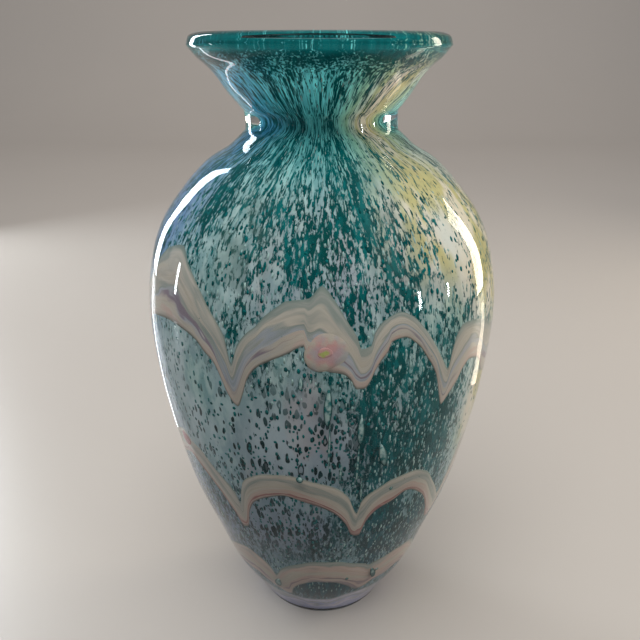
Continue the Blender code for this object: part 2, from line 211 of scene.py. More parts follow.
def length(name, description, value):
    """A length property of the add-on, in metres."""
    return FloatProperty(name=name, description=description, default=value, unit="LENGTH", precision=5)


def share(name, description, value, highest=1.0):
    """A plain number property of the add-on."""
    return FloatProperty(name=name, description=description, default=value, min=0.0, max=highest)


class VaseSizes(bpy.types.PropertyGroup):
    """Sizes of the vase and of its lays of glass"""

    foot_radius: length("Foot Radius", "Outer edge of the flat foot ring", 0.0227)
    foot_ring_width: length("Foot Ring Width", "Width of the flat foot ring", 0.007)
    punt_depth: length("Punt Depth", "Hollow in the middle of the foot", 0.0015)
    heel_radius: length("Heel Radius", "Radius where the rounded heel meets the wall", 0.0301)
    heel_height: length("Heel Height", "Height where the rounded heel meets the wall", 0.0063)
    belly_radius: length("Belly Radius", "Widest radius of the body", CASING_TOP_CORNER.x)
    belly_height: length("Belly Height", "Height of the widest ring of the body", 0.1510)
    neck_radius: length("Neck Radius", "Radius of the short straight neck band", 0.0298)
    neck_bottom: length("Neck Bottom", "Height of the lower corner of the neck band", 0.2197)
    neck_top: length("Neck Top", "Height of the upper corner of the neck band", 0.2259)
    lip_radius: length("Lip Radius", "Widest radius of the lip", 0.0497)
    lip_drop: length("Lip Drop", "From the top of the rim down to its widest ring", 0.0043)
    lip_roll: length("Lip Roll", "Width of the clear roll outside the ends of the coats", 0.0078)
    lip_lean: length("Lip Lean", "How far the hand worked lip leans to the left", 0.0010)
    unevenness: length("Unevenness", "How far the wall wanders from a true circle", 0.0004)
    casing_wall: length("Casing Wall", "Clear glass over the colour on the body", 0.0040)
    floor_cover: length("Floor Cover", "Clear glass under the colour at the foot", 0.0046)
    colour_neck_radius: length("Colour Neck Radius", "Outside of the frit coat at the waist", 0.0159)
    colour_end_drop: length("Colour End Drop", "From the rim down to the ends of the coats", 0.0067)
    frit_wall: length("Frit Wall", "Thickness of the frit coat", 0.0006)
    opal_wall: length("Opal Wall", "Thickness of the opal coat", 0.0006)
    core_wall: length("Core Wall", "Thickness of the blown core", 0.0018)
    gap: length("Gap", "Clearance between the solids of the frame", 0.0003)
    contact: length("Contact", "How deep one lay is sunk into the next, so that no air shows", 0.00025)
    trail_thickness: length("Trail Thickness", "Height of a garland over the frit", 0.0006)
    wrap_inner_radius: length("Wrap Inner Radius", "Where the heel wrap ends under the foot", 0.0170)
    wrap_thickness: length("Wrap Thickness", "Height of the heel wrap over the frit", 0.0011)
    bit_thickness: length("Bit Thickness", "Height of an inlaid bit over the frit", 0.0009)
    sides: IntProperty(name="Sides", description="Facets round the turned pieces", default=192, min=24)


class GlassColours(bpy.types.PropertyGroup):
    """Colours of the glass"""

    clear: colour("Clear", "Clear casing", (0.97, 0.99, 0.985))
    deep_teal: colour("Deep Teal", "Darkest frit chips", (0.002, 0.060, 0.063))
    mid_teal: colour("Mid Teal", "Frit chips that melted thin", (0.004, 0.120, 0.124))
    green_black: colour("Green Black", "Frit chips with an olive cast", (0.003, 0.055, 0.052))
    neck_teal: colour("Neck Teal", "Chips drawn thin in the neck", (0.003, 0.100, 0.108))
    milk: colour("Milk", "Palest clouds in the opal", (0.470, 0.550, 0.580))
    spot: colour("Spot", "Single dark chips on the lilac ground", (0.002, 0.014, 0.016))
    aqua: colour("Aqua", "Opal ground", (0.150, 0.280, 0.280))
    pale_aqua: colour("Pale Aqua", "Lightest opal ground", (0.310, 0.430, 0.415))
    lilac: colour("Lilac", "Opal ground with a lilac cast", (0.270, 0.300, 0.350))
    blush: colour("Blush", "Warm pink cast in the opal", (0.330, 0.275, 0.270))
    # Painted sheen: gold on the right
    gold_sheen: colour("Gold", "Fumed patches on the right", (0.420, 0.365, 0.150))
    # Painted sheen: the paler glow mottled into the gold sheen
    gold_sheen_pale: colour("Warm White", "Pale glass between the fumed patches", (0.600, 0.520, 0.410))
    # Painted sheen: blue on the left
    blue_sheen_tint: colour("Steel Blue", "Fumed patches on the left", (0.085, 0.170, 0.370))
    smear: colour("Smear", "Grey green smears over the chips", (0.075, 0.130, 0.115))
    cream: colour("Cream", "Body of the garlands", (0.400, 0.355, 0.300))
    grey_green: colour("Grey Green", "Cool streaks in the garlands", (0.205, 0.235, 0.215))
    peach: colour("Peach", "Warm edge of the garlands", (0.430, 0.310, 0.265))
    mauve: colour("Mauve", "Thin dark line in the garlands", (0.180, 0.130, 0.170))
    maroon: colour("Maroon", "Red line in the lower garlands", (0.240, 0.090, 0.090))
    lilac_wrap: colour("Lilac Wrap", "Band round the heel", (0.600, 0.560, 0.730))
    wrap_blue: colour("Wrap Blue", "Streaks in the heel wrap", (0.300, 0.330, 0.560))
    pink: colour("Pink", "Inlaid pink bit", (0.460, 0.250, 0.240))
    eye_green: colour("Eye Green", "Bit set in the pink one", (0.330, 0.360, 0.110))
    crimson: colour("Crimson", "Small bit at the left", (0.240, 0.006, 0.022))


class StudioSettings(bpy.types.PropertyGroup):
    """Camera, floor and lamps"""

    lens: FloatProperty(name="Lens", description="Focal length on a 36 mm sensor", default=38.81)
    tilt: FloatProperty(
        name="Tilt", description="How far the camera looks down", default=math.radians(21.8), subtype="ANGLE"
    )
    distance: length("Distance", "From the camera to the vase's axis", 0.2787)
    eye_height: length("Eye Height", "Height of the camera", 0.2499)
    aim_shift: FloatProperty(name="Aim Shift", description="Sideways shift of the lens", default=-0.0031)
    floor_colour: colour("Floor", "Plain pale floor", (0.43, 0.40, 0.37))
    sky_colour: colour("Sky", "Soft light from all round", (0.80, 0.88, 1.0))
    sky_strength: share("Sky Strength", "Strength of the light from all round", 0.26, 10.0)


# ---------------------------------------------------------------- shape of the glass


def sizes():
    return bpy.context.scene.vase_sizes


def colours():
    return bpy.context.scene.vase_colours


def between(start, end, shares):
    """Points from start to end, leaving both out, each at its share of the rise and of the swell."""
    return [start + (end - start) * np.array((across, up)) for up, across in shares]


def smooth_line(points, steps=14):
    """A Catmull-Rom curve through points of (radius, height)."""
    points = np.asarray(points, float)
    ends = np.vstack([2 * points[0] - points[1], points, 2 * points[-1] - points[-2]])
    curve = []
    for a, b, c, d in zip(ends, ends[1:], ends[2:], ends[3:]):
        for t in np.arange(steps) / steps:
            bend = (2 * a - 5 * b + 4 * c - d) * t ** 2 / 2
            twist = (3 * b - a - 3 * c + d) * t ** 3 / 2
            curve.append(b + (c - a) * t / 2 + bend + twist)
    return np.array(curve + [points[-1]])


def lengths_along(line):
    """How far along a line each of its points lies."""
    return np.concatenate([[0.0], np.cumsum(np.linalg.norm(np.diff(line, axis=0), axis=1))])


def evenly(line, spacing):
    """The line again, with points about one spacing apart."""
    run = lengths_along(line)
    stops = np.linspace(0.0, run[-1], max(int(run[-1] / spacing), 2) + 1)
    return np.stack([np.interp(stops, run, line[:, k]) for k in range(line.shape[1])], axis=1)


def sides_of(line):
    """Unit vectors across a line of (radius, height), towards the outside of the vase."""
    along = np.gradient(line, axis=0)
    along /= np.linalg.norm(along, axis=1)[:, None]
    return np.stack([along[:, 1], -along[:, 0]], axis=1)


def offset(line, distance):
    """The line moved outwards by a distance, kept off the axis."""
    moved = line + sides_of(line) * distance
    moved[:, 0] = np.maximum(moved[:, 0], 0.0)
    if line[0, 0] == 0.0:
        moved[0, 0] = 0.0
    return moved


def axis_to_axis(*stretches):
    """Stretches of (radius, height) as one line that starts and ends on the axis."""
    line = np.vstack(stretches)
    line[0, 0] = line[-1, 0] = 0.0
    return line


def wall_points():
    """The outside of the vase as (radius, height): body, shoulder and flare."""
    s = sizes()
    heel = np.array((s.heel_radius, s.heel_height))
    belly = np.array((s.belly_radius, s.belly_height))
    neck_low = np.array((s.neck_radius, s.neck_bottom))
    neck_high = np.array((s.neck_radius, s.neck_top))
    lip = np.array((s.lip_radius, HEIGHT - s.lip_drop))
    body = [heel] + between(heel, belly, HEEL_TO_BELLY) + [belly]
    shoulder = between(belly, neck_low, BELLY_TO_NECK)
    flare = between(neck_high, lip, NECK_TO_LIP)
    return body, shoulder, neck_low, neck_high, flare, lip


def corner_offset(points, distance):
    """A line of few points moved outwards, with its corners mitred."""
    points = np.asarray(points)
    steps = np.diff(points, axis=0)
    steps /= np.linalg.norm(steps, axis=1)[:, None]
    first = np.vstack([steps[0], steps])
    second = np.vstack([steps, steps[-1]])
    along = first + second
    along /= np.linalg.norm(along, axis=1)[:, None]
    mitre = (first * along).sum(axis=1)[:, None]
    return points + np.stack([along[:, 1], -along[:, 0]], axis=1) * distance / mitre


def colour_line():
    """The outside of the frit coat, from the axis under the floor up to the ends of the coats."""
    s = sizes()
    body, shoulder, *_ = wall_points()
    cased = corner_offset(body + shoulder, -s.casing_wall)[: len(body) + SHOULDER_POINTS_CASED]
    waist = np.array((s.colour_neck_radius, (s.neck_bottom + s.neck_top) / 2))
    end = np.array((s.lip_radius - s.lip_roll, HEIGHT - s.colour_end_drop))
    heel_edge = np.array((cased[0][0] - s.casing_wall / 2, s.floor_cover))
    floor = [np.array((0.0, s.floor_cover)), np.array((s.wrap_inner_radius, s.floor_cover)), heel_edge]
    neck = between(cased[-1], waist, COLOUR_TO_WAIST) + [waist]
    return smooth_line(floor + list(cased) + neck + between(waist, end, WAIST_TO_COLOUR_END) + [end])


def outer_line():
    """The outside of the casing, from the widest ring of the lip down to the middle of the foot."""
    s = sizes()
    body, shoulder, neck_low, neck_high, flare, lip = wall_points()
    nip = np.array((0.0, 0.5 * MM))
    waist = (neck_low + neck_high) / 2 - np.array((0.15 * MM, 0.0))
    top = smooth_line([neck_high + nip] + flare + [lip])[::-1]
    band = smooth_line([neck_high - nip, waist, neck_low + nip])
    wall = smooth_line(body + shoulder + [neck_low - nip])[::-1]
    foot = smooth_line(
        [
            (s.heel_radius, s.heel_height),
            (s.heel_radius + (s.foot_radius - s.heel_radius) * 0.28, s.heel_height / 3),
            (s.foot_radius + 0.6 * MM, 0.12 * MM),
            (s.foot_radius, 0.0),
        ]
    )
    ring_inner = s.foot_radius - s.foot_ring_width
    punt = smooth_line(
        [
            (ring_inner, 0.0),
            (ring_inner - 1.5 * MM, s.punt_depth * 0.55),
            (s.foot_radius * 0.35, s.punt_depth * 0.95),
            (0.0, s.punt_depth),
        ]
    )
    return np.vstack([top, band, wall, foot[1:], punt])


def lip_line(start):
    """The rolled lip, from the ends of the coats inside over the rim to the lip's widest ring."""
    s = sizes()
    lip = np.array((s.lip_radius, HEIGHT - s.lip_drop))
    top = np.array((s.lip_radius - 0.88 * s.lip_drop, HEIGHT))
    inside = start + (top - start) * np.array((0.42, 0.66))
    inner_top = start + (top - start) * np.array((0.74, 0.95))
    shoulder = top + (lip - top) * np.array((0.72, 0.30))
    return smooth_line([start, inside, inner_top, top, shoulder, lip])


def eased(value, none, full):
    """0 up to none, 1 from full on, with an eased step between. Full may be the lower one."""
    t = np.clip((value - none) / (full - none), 0.0, 1.0)
    return t * t * (3.0 - 2.0 * t)


def hand_blown(points):
    """Points of a true turned form, moved as the blower's hand left the vase."""
    s = sizes()
    x, y, z = points[..., 0], points[..., 1], points[..., 2]
    turn = np.arctan2(x, -y)
    rise = z / HEIGHT
    wander = 0.5 + 0.25 * np.sin(2 * turn + 9.0 * rise + 0.6) + 0.25 * np.sin(3 * turn - 7.0 * rise)
    above_foot = eased(z, 4.0 * MM, 54.0 * MM)
    keep = 1.0 - s.unevenness * wander * above_foot / s.belly_radius
    lean = s.lip_lean * eased(z, s.neck_bottom - 4.0 * MM, s.neck_bottom + 18.0 * MM)
    return np.stack([x * keep - lean, y * keep, z], axis=-1)


def ring_points(radius, turns, height):
    """Points round the axis, at turns in radians that start in front and go to the right."""
    return np.stack(np.broadcast_arrays(radius * np.sin(turns), -radius * np.cos(turns), height), axis=-1)


def turned_points(line, turns):
    """Rings of points, one for each point of the line, round the vase's axis."""
    return hand_blown(ring_points(line[:, :1], turns, line[:, 1:]))


def all_round(count):
    """Turns in radians, evenly spread round the axis."""
    return np.linspace(0.0, math.tau, count, endpoint=False)


def closed_mesh(name, points, faces):
    """A smooth closed mesh with its faces outwards."""
    mesh = bpy.data.meshes.new(name)
    mesh.from_pydata(points, [], faces)
    bm = bmesh.new()
    bm.from_mesh(mesh)
    bmesh.ops.recalc_face_normals(bm, faces=bm.faces[:])
    bm.to_mesh(mesh)
    bm.free()
    mesh.shade_smooth()
    return mesh


def skin_mesh(name, rings, attributes, joined=False):
    """A closed skin over rings of points. Its first and last rings are poles, or joined to each other."""
    inner = slice(None) if joined else slice(1, -1)
    rows = rings[inner]
    points = rows.reshape(-1, 3)
    if not joined:
        points = np.vstack([rings[0].mean(axis=0), points, rings[-1].mean(axis=0)])
    index = (0 if joined else 1) + np.arange(rows.shape[0] * rows.shape[1]).reshape(rows.shape[:2])
    lower = index if joined else index[:-1]
    upper = np.roll(index, -1, axis=0) if joined else index[1:]
    corners = [lower, np.roll(lower, -1, axis=1), np.roll(upper, -1, axis=1), upper]
    faces = np.stack(corners, axis=-1).reshape(-1, 4).tolist()
    if not joined:
        nearer = np.roll(index, -1, axis=1)
        last = len(points) - 1
        faces += [(0, b, a) for a, b in zip(index[0].tolist(), nearer[0].tolist())]
        faces += [(last, a, b) for a, b in zip(index[-1].tolist(), nearer[-1].tolist())]
    mesh = closed_mesh(name, points.tolist(), faces)
    for key, values in attributes.items():
        width = 3 if values.ndim == 3 else 1
        flat = values[inner].reshape(-1, width)
        if not joined:
            flat = np.vstack([values[0].reshape(-1, width)[:1], flat, values[-1].reshape(-1, width)[:1]])
        layer = mesh.attributes.new(key, "FLOAT_VECTOR" if width == 3 else "FLOAT", "POINT")
        layer.data.foreach_set("vector" if width == 3 else "value", flat.astype(np.float32).ravel())
    return mesh


def laid(name, mesh, node=None):
    """A finished piece that rides on the vase, and stands for a node of the frame where one is named."""
    piece = bpy.data.objects.new(name, mesh)
    bpy.context.scene.collection.objects.link(piece)
    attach(piece, BODY)
    if node:
        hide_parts(node)
    return piece


def glazed(mesh, material):
    """The mesh with one glass all over."""
    mesh.materials.clear()
    mesh.materials.append(material)
    return mesh


# ---------------------------------------------------------------- where things lie on the frit


def patch_strength(patches, angle, height):
    """How strongly soft edged patches act at angles in degrees and heights in mm."""
    total = np.zeros(np.broadcast(angle, height).shape)
    for middle, level, half_width, half_height, strength in patches:
        off = (angle - middle + 180.0) % 360.0 - 180.0
        reach = (off / half_width) ** 2 + ((height - level) / half_height) ** 2
        total += strength * np.exp(-(reach ** 1.3))
    return total


def flowing(points, angles):
    """Heights on a closed edge through (angle, height) points, with no overshoot, at angles in degrees."""
    places = np.array(sorted(points), float)
    x = np.concatenate([places[-2:, 0] - 360.0, places[:, 0], places[:2, 0] + 360.0])
    y = np.concatenate([places[-2:, 1], places[:, 1], places[:2, 1]])
    steps = np.diff(x)
    slopes = np.diff(y) / steps
    tangents = np.zeros_like(y)
    same_way = slopes[:-1] * slopes[1:] > 0.0
    wide, near = 2 * steps[1:] + steps[:-1], steps[1:] + 2 * steps[:-1]
    with np.errstate(divide="ignore", invalid="ignore"):
        mean = (wide + near) / (wide / slopes[:-1] + near / slopes[1:])
    tangents[1:-1] = np.where(same_way, mean, 0.0)
    wrapped = (np.asarray(angles) - x[2]) % 360.0 + x[2]
    i = np.clip(np.searchsorted(x, wrapped, side="right") - 1, 0, len(steps) - 1)
    t = (wrapped - x[i]) / steps[i]
    leaving = y[i] * (1 + 2 * t) * (1 - t) ** 2 + steps[i] * tangents[i] * t * (1 - t) ** 2
    arriving = y[i + 1] * t * t * (3 - 2 * t) + steps[i] * tangents[i + 1] * t * t * (t - 1)
    return leaving + arriving


def arches_behind(stations, which):
    """Points along one edge of the arches behind, between tips and crowns given by turns."""
    points = []
    for here, after in zip(stations, stations[1:]):
        low_first = here[1] < after[1]
        crown, tip = (after, here) if low_first else (here, after)
        for t in (0.0, 0.3, 0.55, 0.75, 0.9):
            fall = (1.0 - t if low_first else t) ** ARCH_POWER
            angle = here[0] + (after[0] - here[0]) * t
            points.append((angle, crown[which] + (tip[which] - crown[which]) * fall))
    return points + [(stations[-1][0], stations[-1][which])]


def edge_all_round(front, behind, which):
    """A garland's edge all round: its points in front and those of the arches behind."""
    first, last = front[-1][0], front[0][0] + 360
    back = [point for point in arches_behind(behind, which) if first < point[0] < last]
    return list(front) + back


def place_on(line, heights):
    """Radii of the frit coat's body, and its outward sides, at heights in metres."""
    start = int(np.argmax(line[:, 0] >= sizes().wrap_inner_radius + 4.0 * MM))
    end = int(np.argmax(line[:, 1] > 210.0 * MM))
    body = line[start:end]
    across = sides_of(body)
    return [np.interp(heights, body[:, 1], values) for values in (body[:, 0], across[:, 0], across[:, 1])]


def on_frit(line, turn, height, lift):
    """Points over the frit coat at turns in radians and heights in metres, raised by lift."""
    radius, out, up = place_on(line, height)
    return ring_points(radius + out * lift, turn, height + up * lift)


# ---------------------------------------------------------------- node helpers


def add_node(tree, kind, sockets=None, **settings):
    """A new node with its settings, and its sockets set to values or linked to other sockets."""
    made = tree.nodes.new(kind)
    for key, value in settings.items():
        setattr(made, key, value)
    for key, value in (sockets or {}).items():
        if isinstance(value, bpy.types.NodeSocket):
            tree.links.new(value, made.inputs[key])
        else:
            made.inputs[key].default_value = value
    return made


def maths(tree, operation, *values):
    """A sum on numbers and sockets."""
    return add_node(tree, "ShaderNodeMath", dict(enumerate(values)), operation=operation).outputs[0]


def times(tree, a, b):
    return maths(tree, "MULTIPLY", a, b)


def less(tree, a, b):
    return maths(tree, "SUBTRACT", a, b)


def clamped(tree, value):
    return add_node(tree, "ShaderNodeClamp", {0: value}).outputs[0]


def blended(tree, amount, a, b, blend="MIX"):
    """Two colours blended by an amount."""
    sockets = {0: amount, 6: with_alpha(a), 7: with_alpha(b)}
    return add_node(tree, "ShaderNodeMix", sockets, data_type="RGBA", blend_type=blend).outputs[2]


def with_alpha(value):
    """A colour property as the four numbers that a colour socket takes. Sockets pass through."""
    if isinstance(value, bpy.types.NodeSocket):
        return value
    return (*value[:3], 1.0)


def banded(tree, value, low, high):
    """0 below low, 1 above high, with an eased step between."""
    sockets = {0: value, 1: low, 2: high, 3: 0.0, 4: 1.0}
    return add_node(tree, "ShaderNodeMapRange", sockets, interpolation_type="SMOOTHSTEP").outputs[0]


def stored(tree, name, output="Fac"):
    """An attribute of the piece's own mesh."""
    return add_node(tree, "ShaderNodeAttribute", attribute_name=name).outputs[output]


def scaled(tree, vector, factors):
    return add_node(tree, "ShaderNodeVectorMath", {0: vector, 1: factors}, operation="MULTIPLY").outputs[0]


def cloudy(tree, vector, scale, detail=2.0, roughness=0.5):
    """Soft noise, from 0 to 1."""
    sockets = {"Vector": vector, "Scale": scale, "Detail": detail, "Roughness": roughness}
    return add_node(tree, "ShaderNodeTexNoise", sockets).outputs["Fac"]


def effect_group(name, inputs, outputs):
    """A shader node group with named sockets, and its inner input and output nodes."""
    tree = bpy.data.node_groups.new(name, "ShaderNodeTree")
    for label, kind in inputs:
        tree.interface.new_socket(name=label, in_out="INPUT", socket_type=kind)
    for label, kind in outputs:
        tree.interface.new_socket(name=label, in_out="OUTPUT", socket_type=kind)
    return tree, tree.nodes.new("NodeGroupInput"), tree.nodes.new("NodeGroupOutput")


def chip_pattern_group():
    """Frit chips melted into opal: where they lie, how dark each is and which have a pale heart."""
    inputs = [("Flow", "NodeSocketVector"), ("Cover", "NodeSocketFloat"), ("Dots", "NodeSocketFloat")]
    outputs = [("Chips", "NodeSocketFloat"), ("Tone", "NodeSocketFloat")]
    tree, given, result = effect_group("chip_pattern", inputs, outputs)
    flow, cover, dots = (given.outputs[key] for key in ("Flow", "Cover", "Dots"))
    drift = add_node(tree, "ShaderNodeTexNoise", {"Vector": flow, "Scale": 420.0, "Detail": 2.0})
    push = {0: drift.outputs["Color"], 1: (1.6 * MM,) * 3, 2: flow}
    pushed = add_node(tree, "ShaderNodeVectorMath", push, operation="MULTIPLY_ADD").outputs[0]
    blotch = cloudy(tree, pushed, 760.0, 4.0, 0.66)
    wide = less(tree, cloudy(tree, flow, 105.0, 1.5), 0.5)
    level = maths(tree, "MULTIPLY_ADD", wide, -0.34, maths(tree, "MULTIPLY_ADD", cover, -0.40, 0.70))
    patches = banded(tree, less(tree, blotch, level), -0.040, 0.050)
    sparse = banded(tree, less(tree, blotch, maths(tree, "ADD", level, 0.075)), -0.014, 0.022)
    cells = add_node(tree, "ShaderNodeTexVoronoi", {"Vector": pushed, "Scale": 500.0, "Randomness": 1.0})
    draw = add_node(tree, "ShaderNodeSeparateColor", {0: cells.outputs["Color"]})
    reach = maths(tree, "MULTIPLY_ADD", draw.outputs[0], 0.42, maths(tree, "MULTIPLY_ADD", cover, 0.42, 0.02))
    spot = less(tree, reach, cells.outputs["Distance"])
    heart = times(tree, banded(tree, spot, 0.16, 0.24), banded(tree, draw.outputs[1], 0.78, 0.82))
    spots = less(tree, banded(tree, spot, -0.035, 0.035), times(tree, heart, 0.75))
    spots = maths(tree, "MAXIMUM", spots, sparse)
    both = add_node(tree, "ShaderNodeMix", {0: dots, 2: patches, 3: spots}, data_type="FLOAT").outputs[0]
    tree.links.new(clamped(tree, both), result.inputs["Chips"])
    tone = maths(tree, "MULTIPLY_ADD", draw.outputs[2], 0.35, times(tree, cloudy(tree, flow, 170.0), 0.65))
    tree.links.new(tone, result.inputs["Tone"])
    return tree


def drawn_streaks_group():
    """Streaks drawn out along a trail: fine lines and broad swirls, from (turn, turn, across)."""
    inputs = [("Path", "NodeSocketVector"), ("Wander", "NodeSocketFloat")]
    outputs = [("Fine", "NodeSocketFloat"), ("Broad", "NodeSocketFloat"), ("Across", "NodeSocketFloat")]
    tree, given, result = effect_group("drawn_streaks", inputs, outputs)
    path = given.outputs["Path"]
    across = add_node(tree, "ShaderNodeSeparateXYZ", {0: path}).outputs[2]
    drift = less(tree, cloudy(tree, scaled(tree, path, (1.0, 1.0, 0.9)), 4.5, 2.0), 0.5)
    bent = maths(tree, "MULTIPLY_ADD", drift, given.outputs["Wander"], across)
    turn = scaled(tree, path, (1.0, 1.0, 0.0))
    lifted = add_node(tree, "ShaderNodeCombineXYZ", {2: bent}).outputs[0]
    place = add_node(tree, "ShaderNodeVectorMath", {0: turn, 1: lifted}, operation="ADD").outputs[0]
    fine = cloudy(tree, scaled(tree, place, (3.2, 3.2, 9.0)), 1.0, 3.0, 0.6)
    broad = cloudy(tree, scaled(tree, place, (2.4, 2.4, 4.2)), 1.0, 1.5)
    for value, output in zip((fine, broad, bent), result.inputs):
        tree.links.new(value, output)
    return tree


def melted_relief_group():
    """Gentle unevenness of melted glass, as a height."""
    inputs = [("Place", "NodeSocketVector"), ("Scale", "NodeSocketFloat")]
    tree, given, result = effect_group("melted_relief", inputs, [("Height", "NodeSocketFloat")])
    tree.links.new(cloudy(tree, given.outputs[0], given.outputs[1], 2.0), result.inputs[0])
    return tree


def use_group(tree, name, sockets):
    """One of the shared effects, made the first time that it is asked for."""
    makers = {
        "chip_pattern": chip_pattern_group,
        "drawn_streaks": drawn_streaks_group,
        "melted_relief": melted_relief_group,
    }
    group = bpy.data.node_groups.get(name) or makers[name]()
    return add_node(tree, "ShaderNodeGroup", sockets, node_tree=group)


# ---------------------------------------------------------------- glass


def new_glass(name, roughness, specular):
    """A material with a Principled shader. Returns the material, its tree and its shader."""
    material = bpy.data.materials.new(name)
    material.use_nodes = True
    tree = material.node_tree
    shader = tree.nodes["Principled BSDF"]
    shader.inputs["Roughness"].default_value = roughness
    shader.inputs["Specular IOR Level"].default_value = specular
    shader.inputs["IOR"].default_value = 1.5
    return material, tree, shader


def own_place(tree):
    return add_node(tree, "ShaderNodeTexCoord").outputs["Object"]


def raised(tree, shader, height, distance):
    """A fine unevenness that only the highlights show."""
    bump = add_node(tree, "ShaderNodeBump", {"Height": height, "Distance": distance, "Strength": 1.0})
    tree.links.new(bump.outputs[0], shader.inputs["Normal"])


def coloured(tree, shader, value):
    tree.links.new(value, shader.inputs["Base Color"])


def clear_glass(name, roughness, relief):
    """Clear glass that lets the lamps through to the colour under it."""
    material, tree, shader = new_glass(name, roughness, 0.42)
    shader.inputs["Base Color"].default_value = with_alpha(colours().clear)
    shader.inputs["Transmission Weight"].default_value = 1.0
    shader.inputs["Specular Tint"].default_value = (0.22, 0.26, 0.30, 1.0)
    ripple = use_group(tree, "melted_relief", {"Place": own_place(tree), "Scale": 38.0})
    raised(tree, shader, ripple.outputs[0], relief)
    shadow = add_node(tree, "ShaderNodeLightPath").outputs["Is Shadow Ray"]
    through = add_node(tree, "ShaderNodeBsdfTransparent", {0: (0.96, 0.98, 0.98, 1.0)})
    lit = add_node(tree, "ShaderNodeMixShader", {0: shadow, 1: shader.outputs[0], 2: through.outputs[0]})
    tree.links.new(lit.outputs[0], tree.nodes["Material Output"].inputs["Surface"])
    return material


def air_glass():
    """Trapped air, drawn opaque: a painted dark rim where the eye meets its side, as a bubble bends the light
    away there, and pale in its middle.
    """
    c = colours()
    material, tree, shader = new_glass("trapped_air", 0.12, 0.4)
    # Painted shade: the rim darkens as the surface turns from the eye
    side = add_node(tree, "ShaderNodeLayerWeight", {"Blend": 0.35}).outputs["Facing"]
    speck = cloudy(tree, own_place(tree), 420.0, 2.0)
    heart = blended(tree, banded(tree, speck, 0.36, 0.60), c.mid_teal, c.pale_aqua)
    coloured(tree, shader, blended(tree, banded(tree, side, 0.06, 0.26), heart, c.deep_teal))
    return material


def opal_between(tree, flow, gold_sheen):
    """Opal between the chips: aqua, lilac and blush, with a painted blue sheen on the left and a painted gold
    sheen on the right.
    """
    c = colours()
    mottle = cloudy(tree, flow, 260.0, 3.0, 0.6)
    ground = blended(tree, banded(tree, mottle, 0.38, 0.66), c.aqua, c.pale_aqua)
    broad = banded(tree, cloudy(tree, flow, 48.0, 2.0), 0.46, 0.64)
    lilac = clamped(tree, maths(tree, "MULTIPLY_ADD", broad, 0.45, stored(tree, "lilac")))
    ground = blended(tree, times(tree, lilac, 0.85), ground, c.lilac)
    blush = times(tree, banded(tree, cloudy(tree, flow, 90.0), 0.58, 0.70), lilac)
    ground = blended(tree, times(tree, blush, 0.6), ground, c.blush)
    # Painted blue sheen on the left
    ground = blended(tree, times(tree, clamped(tree, stored(tree, "blue_sheen")), 0.75), ground, c.blue_sheen_tint)
    # Painted gold sheen on the right, mottled with a paler glow
    gold_sheen_tint = blended(tree, banded(tree, cloudy(tree, flow, 120.0, 2.0), 0.44, 0.60), c.gold_sheen, c.gold_sheen_pale)
    ground = blended(tree, times(tree, gold_sheen, 0.9), ground, gold_sheen_tint)
    softened = maths(tree, "MULTIPLY_ADD", mottle, 0.5, 0.1)
    ground = blended(tree, softened, ground, (0.75, 0.75, 0.75), "SOFT_LIGHT")
    milky = times(tree, stored(tree, "pale"), banded(tree, cloudy(tree, flow, 60.0, 3.0), 0.36, 0.62))
    return blended(tree, clamped(tree, milky), ground, c.milk)


def chips_dark(tree, flow, tone, at_neck):
    """Deep chips and chips melted thin, some olive, drawn thin at the neck and darkest as dots."""
    c = colours()
    dark = blended(tree, banded(tree, tone, 0.40, 0.66), c.deep_teal, c.mid_teal)
    dark = blended(tree, banded(tree, cloudy(tree, flow, 70.0), 0.56, 0.70), dark, c.green_black)
    dark = blended(tree, times(tree, at_neck, 0.7), dark, c.neck_teal)
    return blended(tree, clamped(tree, times(tree, stored(tree, "dots"), 0.85)), dark, c.spot)


def frit_glass():
    """Teal frit chips over opal: painted shade low down, chips drawn thin at the neck, and painted light
    brightening the neck and the flare.
    """
    material, tree, shader = new_glass("teal_frit_over_opal", 0.6, 0.0)
    flow = stored(tree, "flow", "Vector")
    place = own_place(tree)
    masks = {"Flow": flow, "Cover": stored(tree, "cover"), "Dots": stored(tree, "dots")}
    chips = use_group(tree, "chip_pattern", masks)
    # Where the painted gold sheen lies
    gold_sheen = clamped(tree, stored(tree, "gold_sheen"))
    height = add_node(tree, "ShaderNodeSeparateXYZ", {0: place}).outputs[2]
    # Painted shade: the ground and the chips darken and cool low on the body
    painted_low_shade = less(tree, 1.0, banded(tree, height, *LOW_BODY_SHADE))
    at_neck = clamped(tree, times(tree, banded(tree, height, *NECK_ZONE), less(tree, 0.92, gold_sheen)))
    # Painted light in the flare, whose underside faces away from the lamps
    painted_flare_light = less(tree, banded(tree, height, *FLARE_START), banded(tree, height, *FLARE_END))
    ground = opal_between(tree, flow, gold_sheen)
    # Over the ground: painted shade low down, the neck's own teal cast with painted light brightening it, and
    # painted light in the flare
    for amount, tint in (
        (times(tree, painted_low_shade, 0.9), (0.46, 0.56, 0.70)),
        (at_neck, (0.50, 1.55, 1.60)),
        (clamped(tree, painted_flare_light), (1.6, 1.5, 1.55)),
    ):
        ground = blended(tree, amount, ground, tint, "MULTIPLY")
    dark = chips_dark(tree, flow, chips.outputs["Tone"], at_neck)
    # Painted shade on the chips low on the body
    dark = blended(tree, painted_low_shade, dark, (0.45, 0.60, 0.85), "MULTIPLY")
    skin = blended(tree, chips.outputs["Chips"], ground, dark)
    smear = times(tree, stored(tree, "smear"), banded(tree, cloudy(tree, place, 120.0, 2.0), 0.38, 0.56))
    coloured(tree, shader, blended(tree, times(tree, clamped(tree, smear), 0.7), skin, colours().smear))
    raised(tree, shader, chips.outputs["Chips"], 0.12 * MM)
    return material


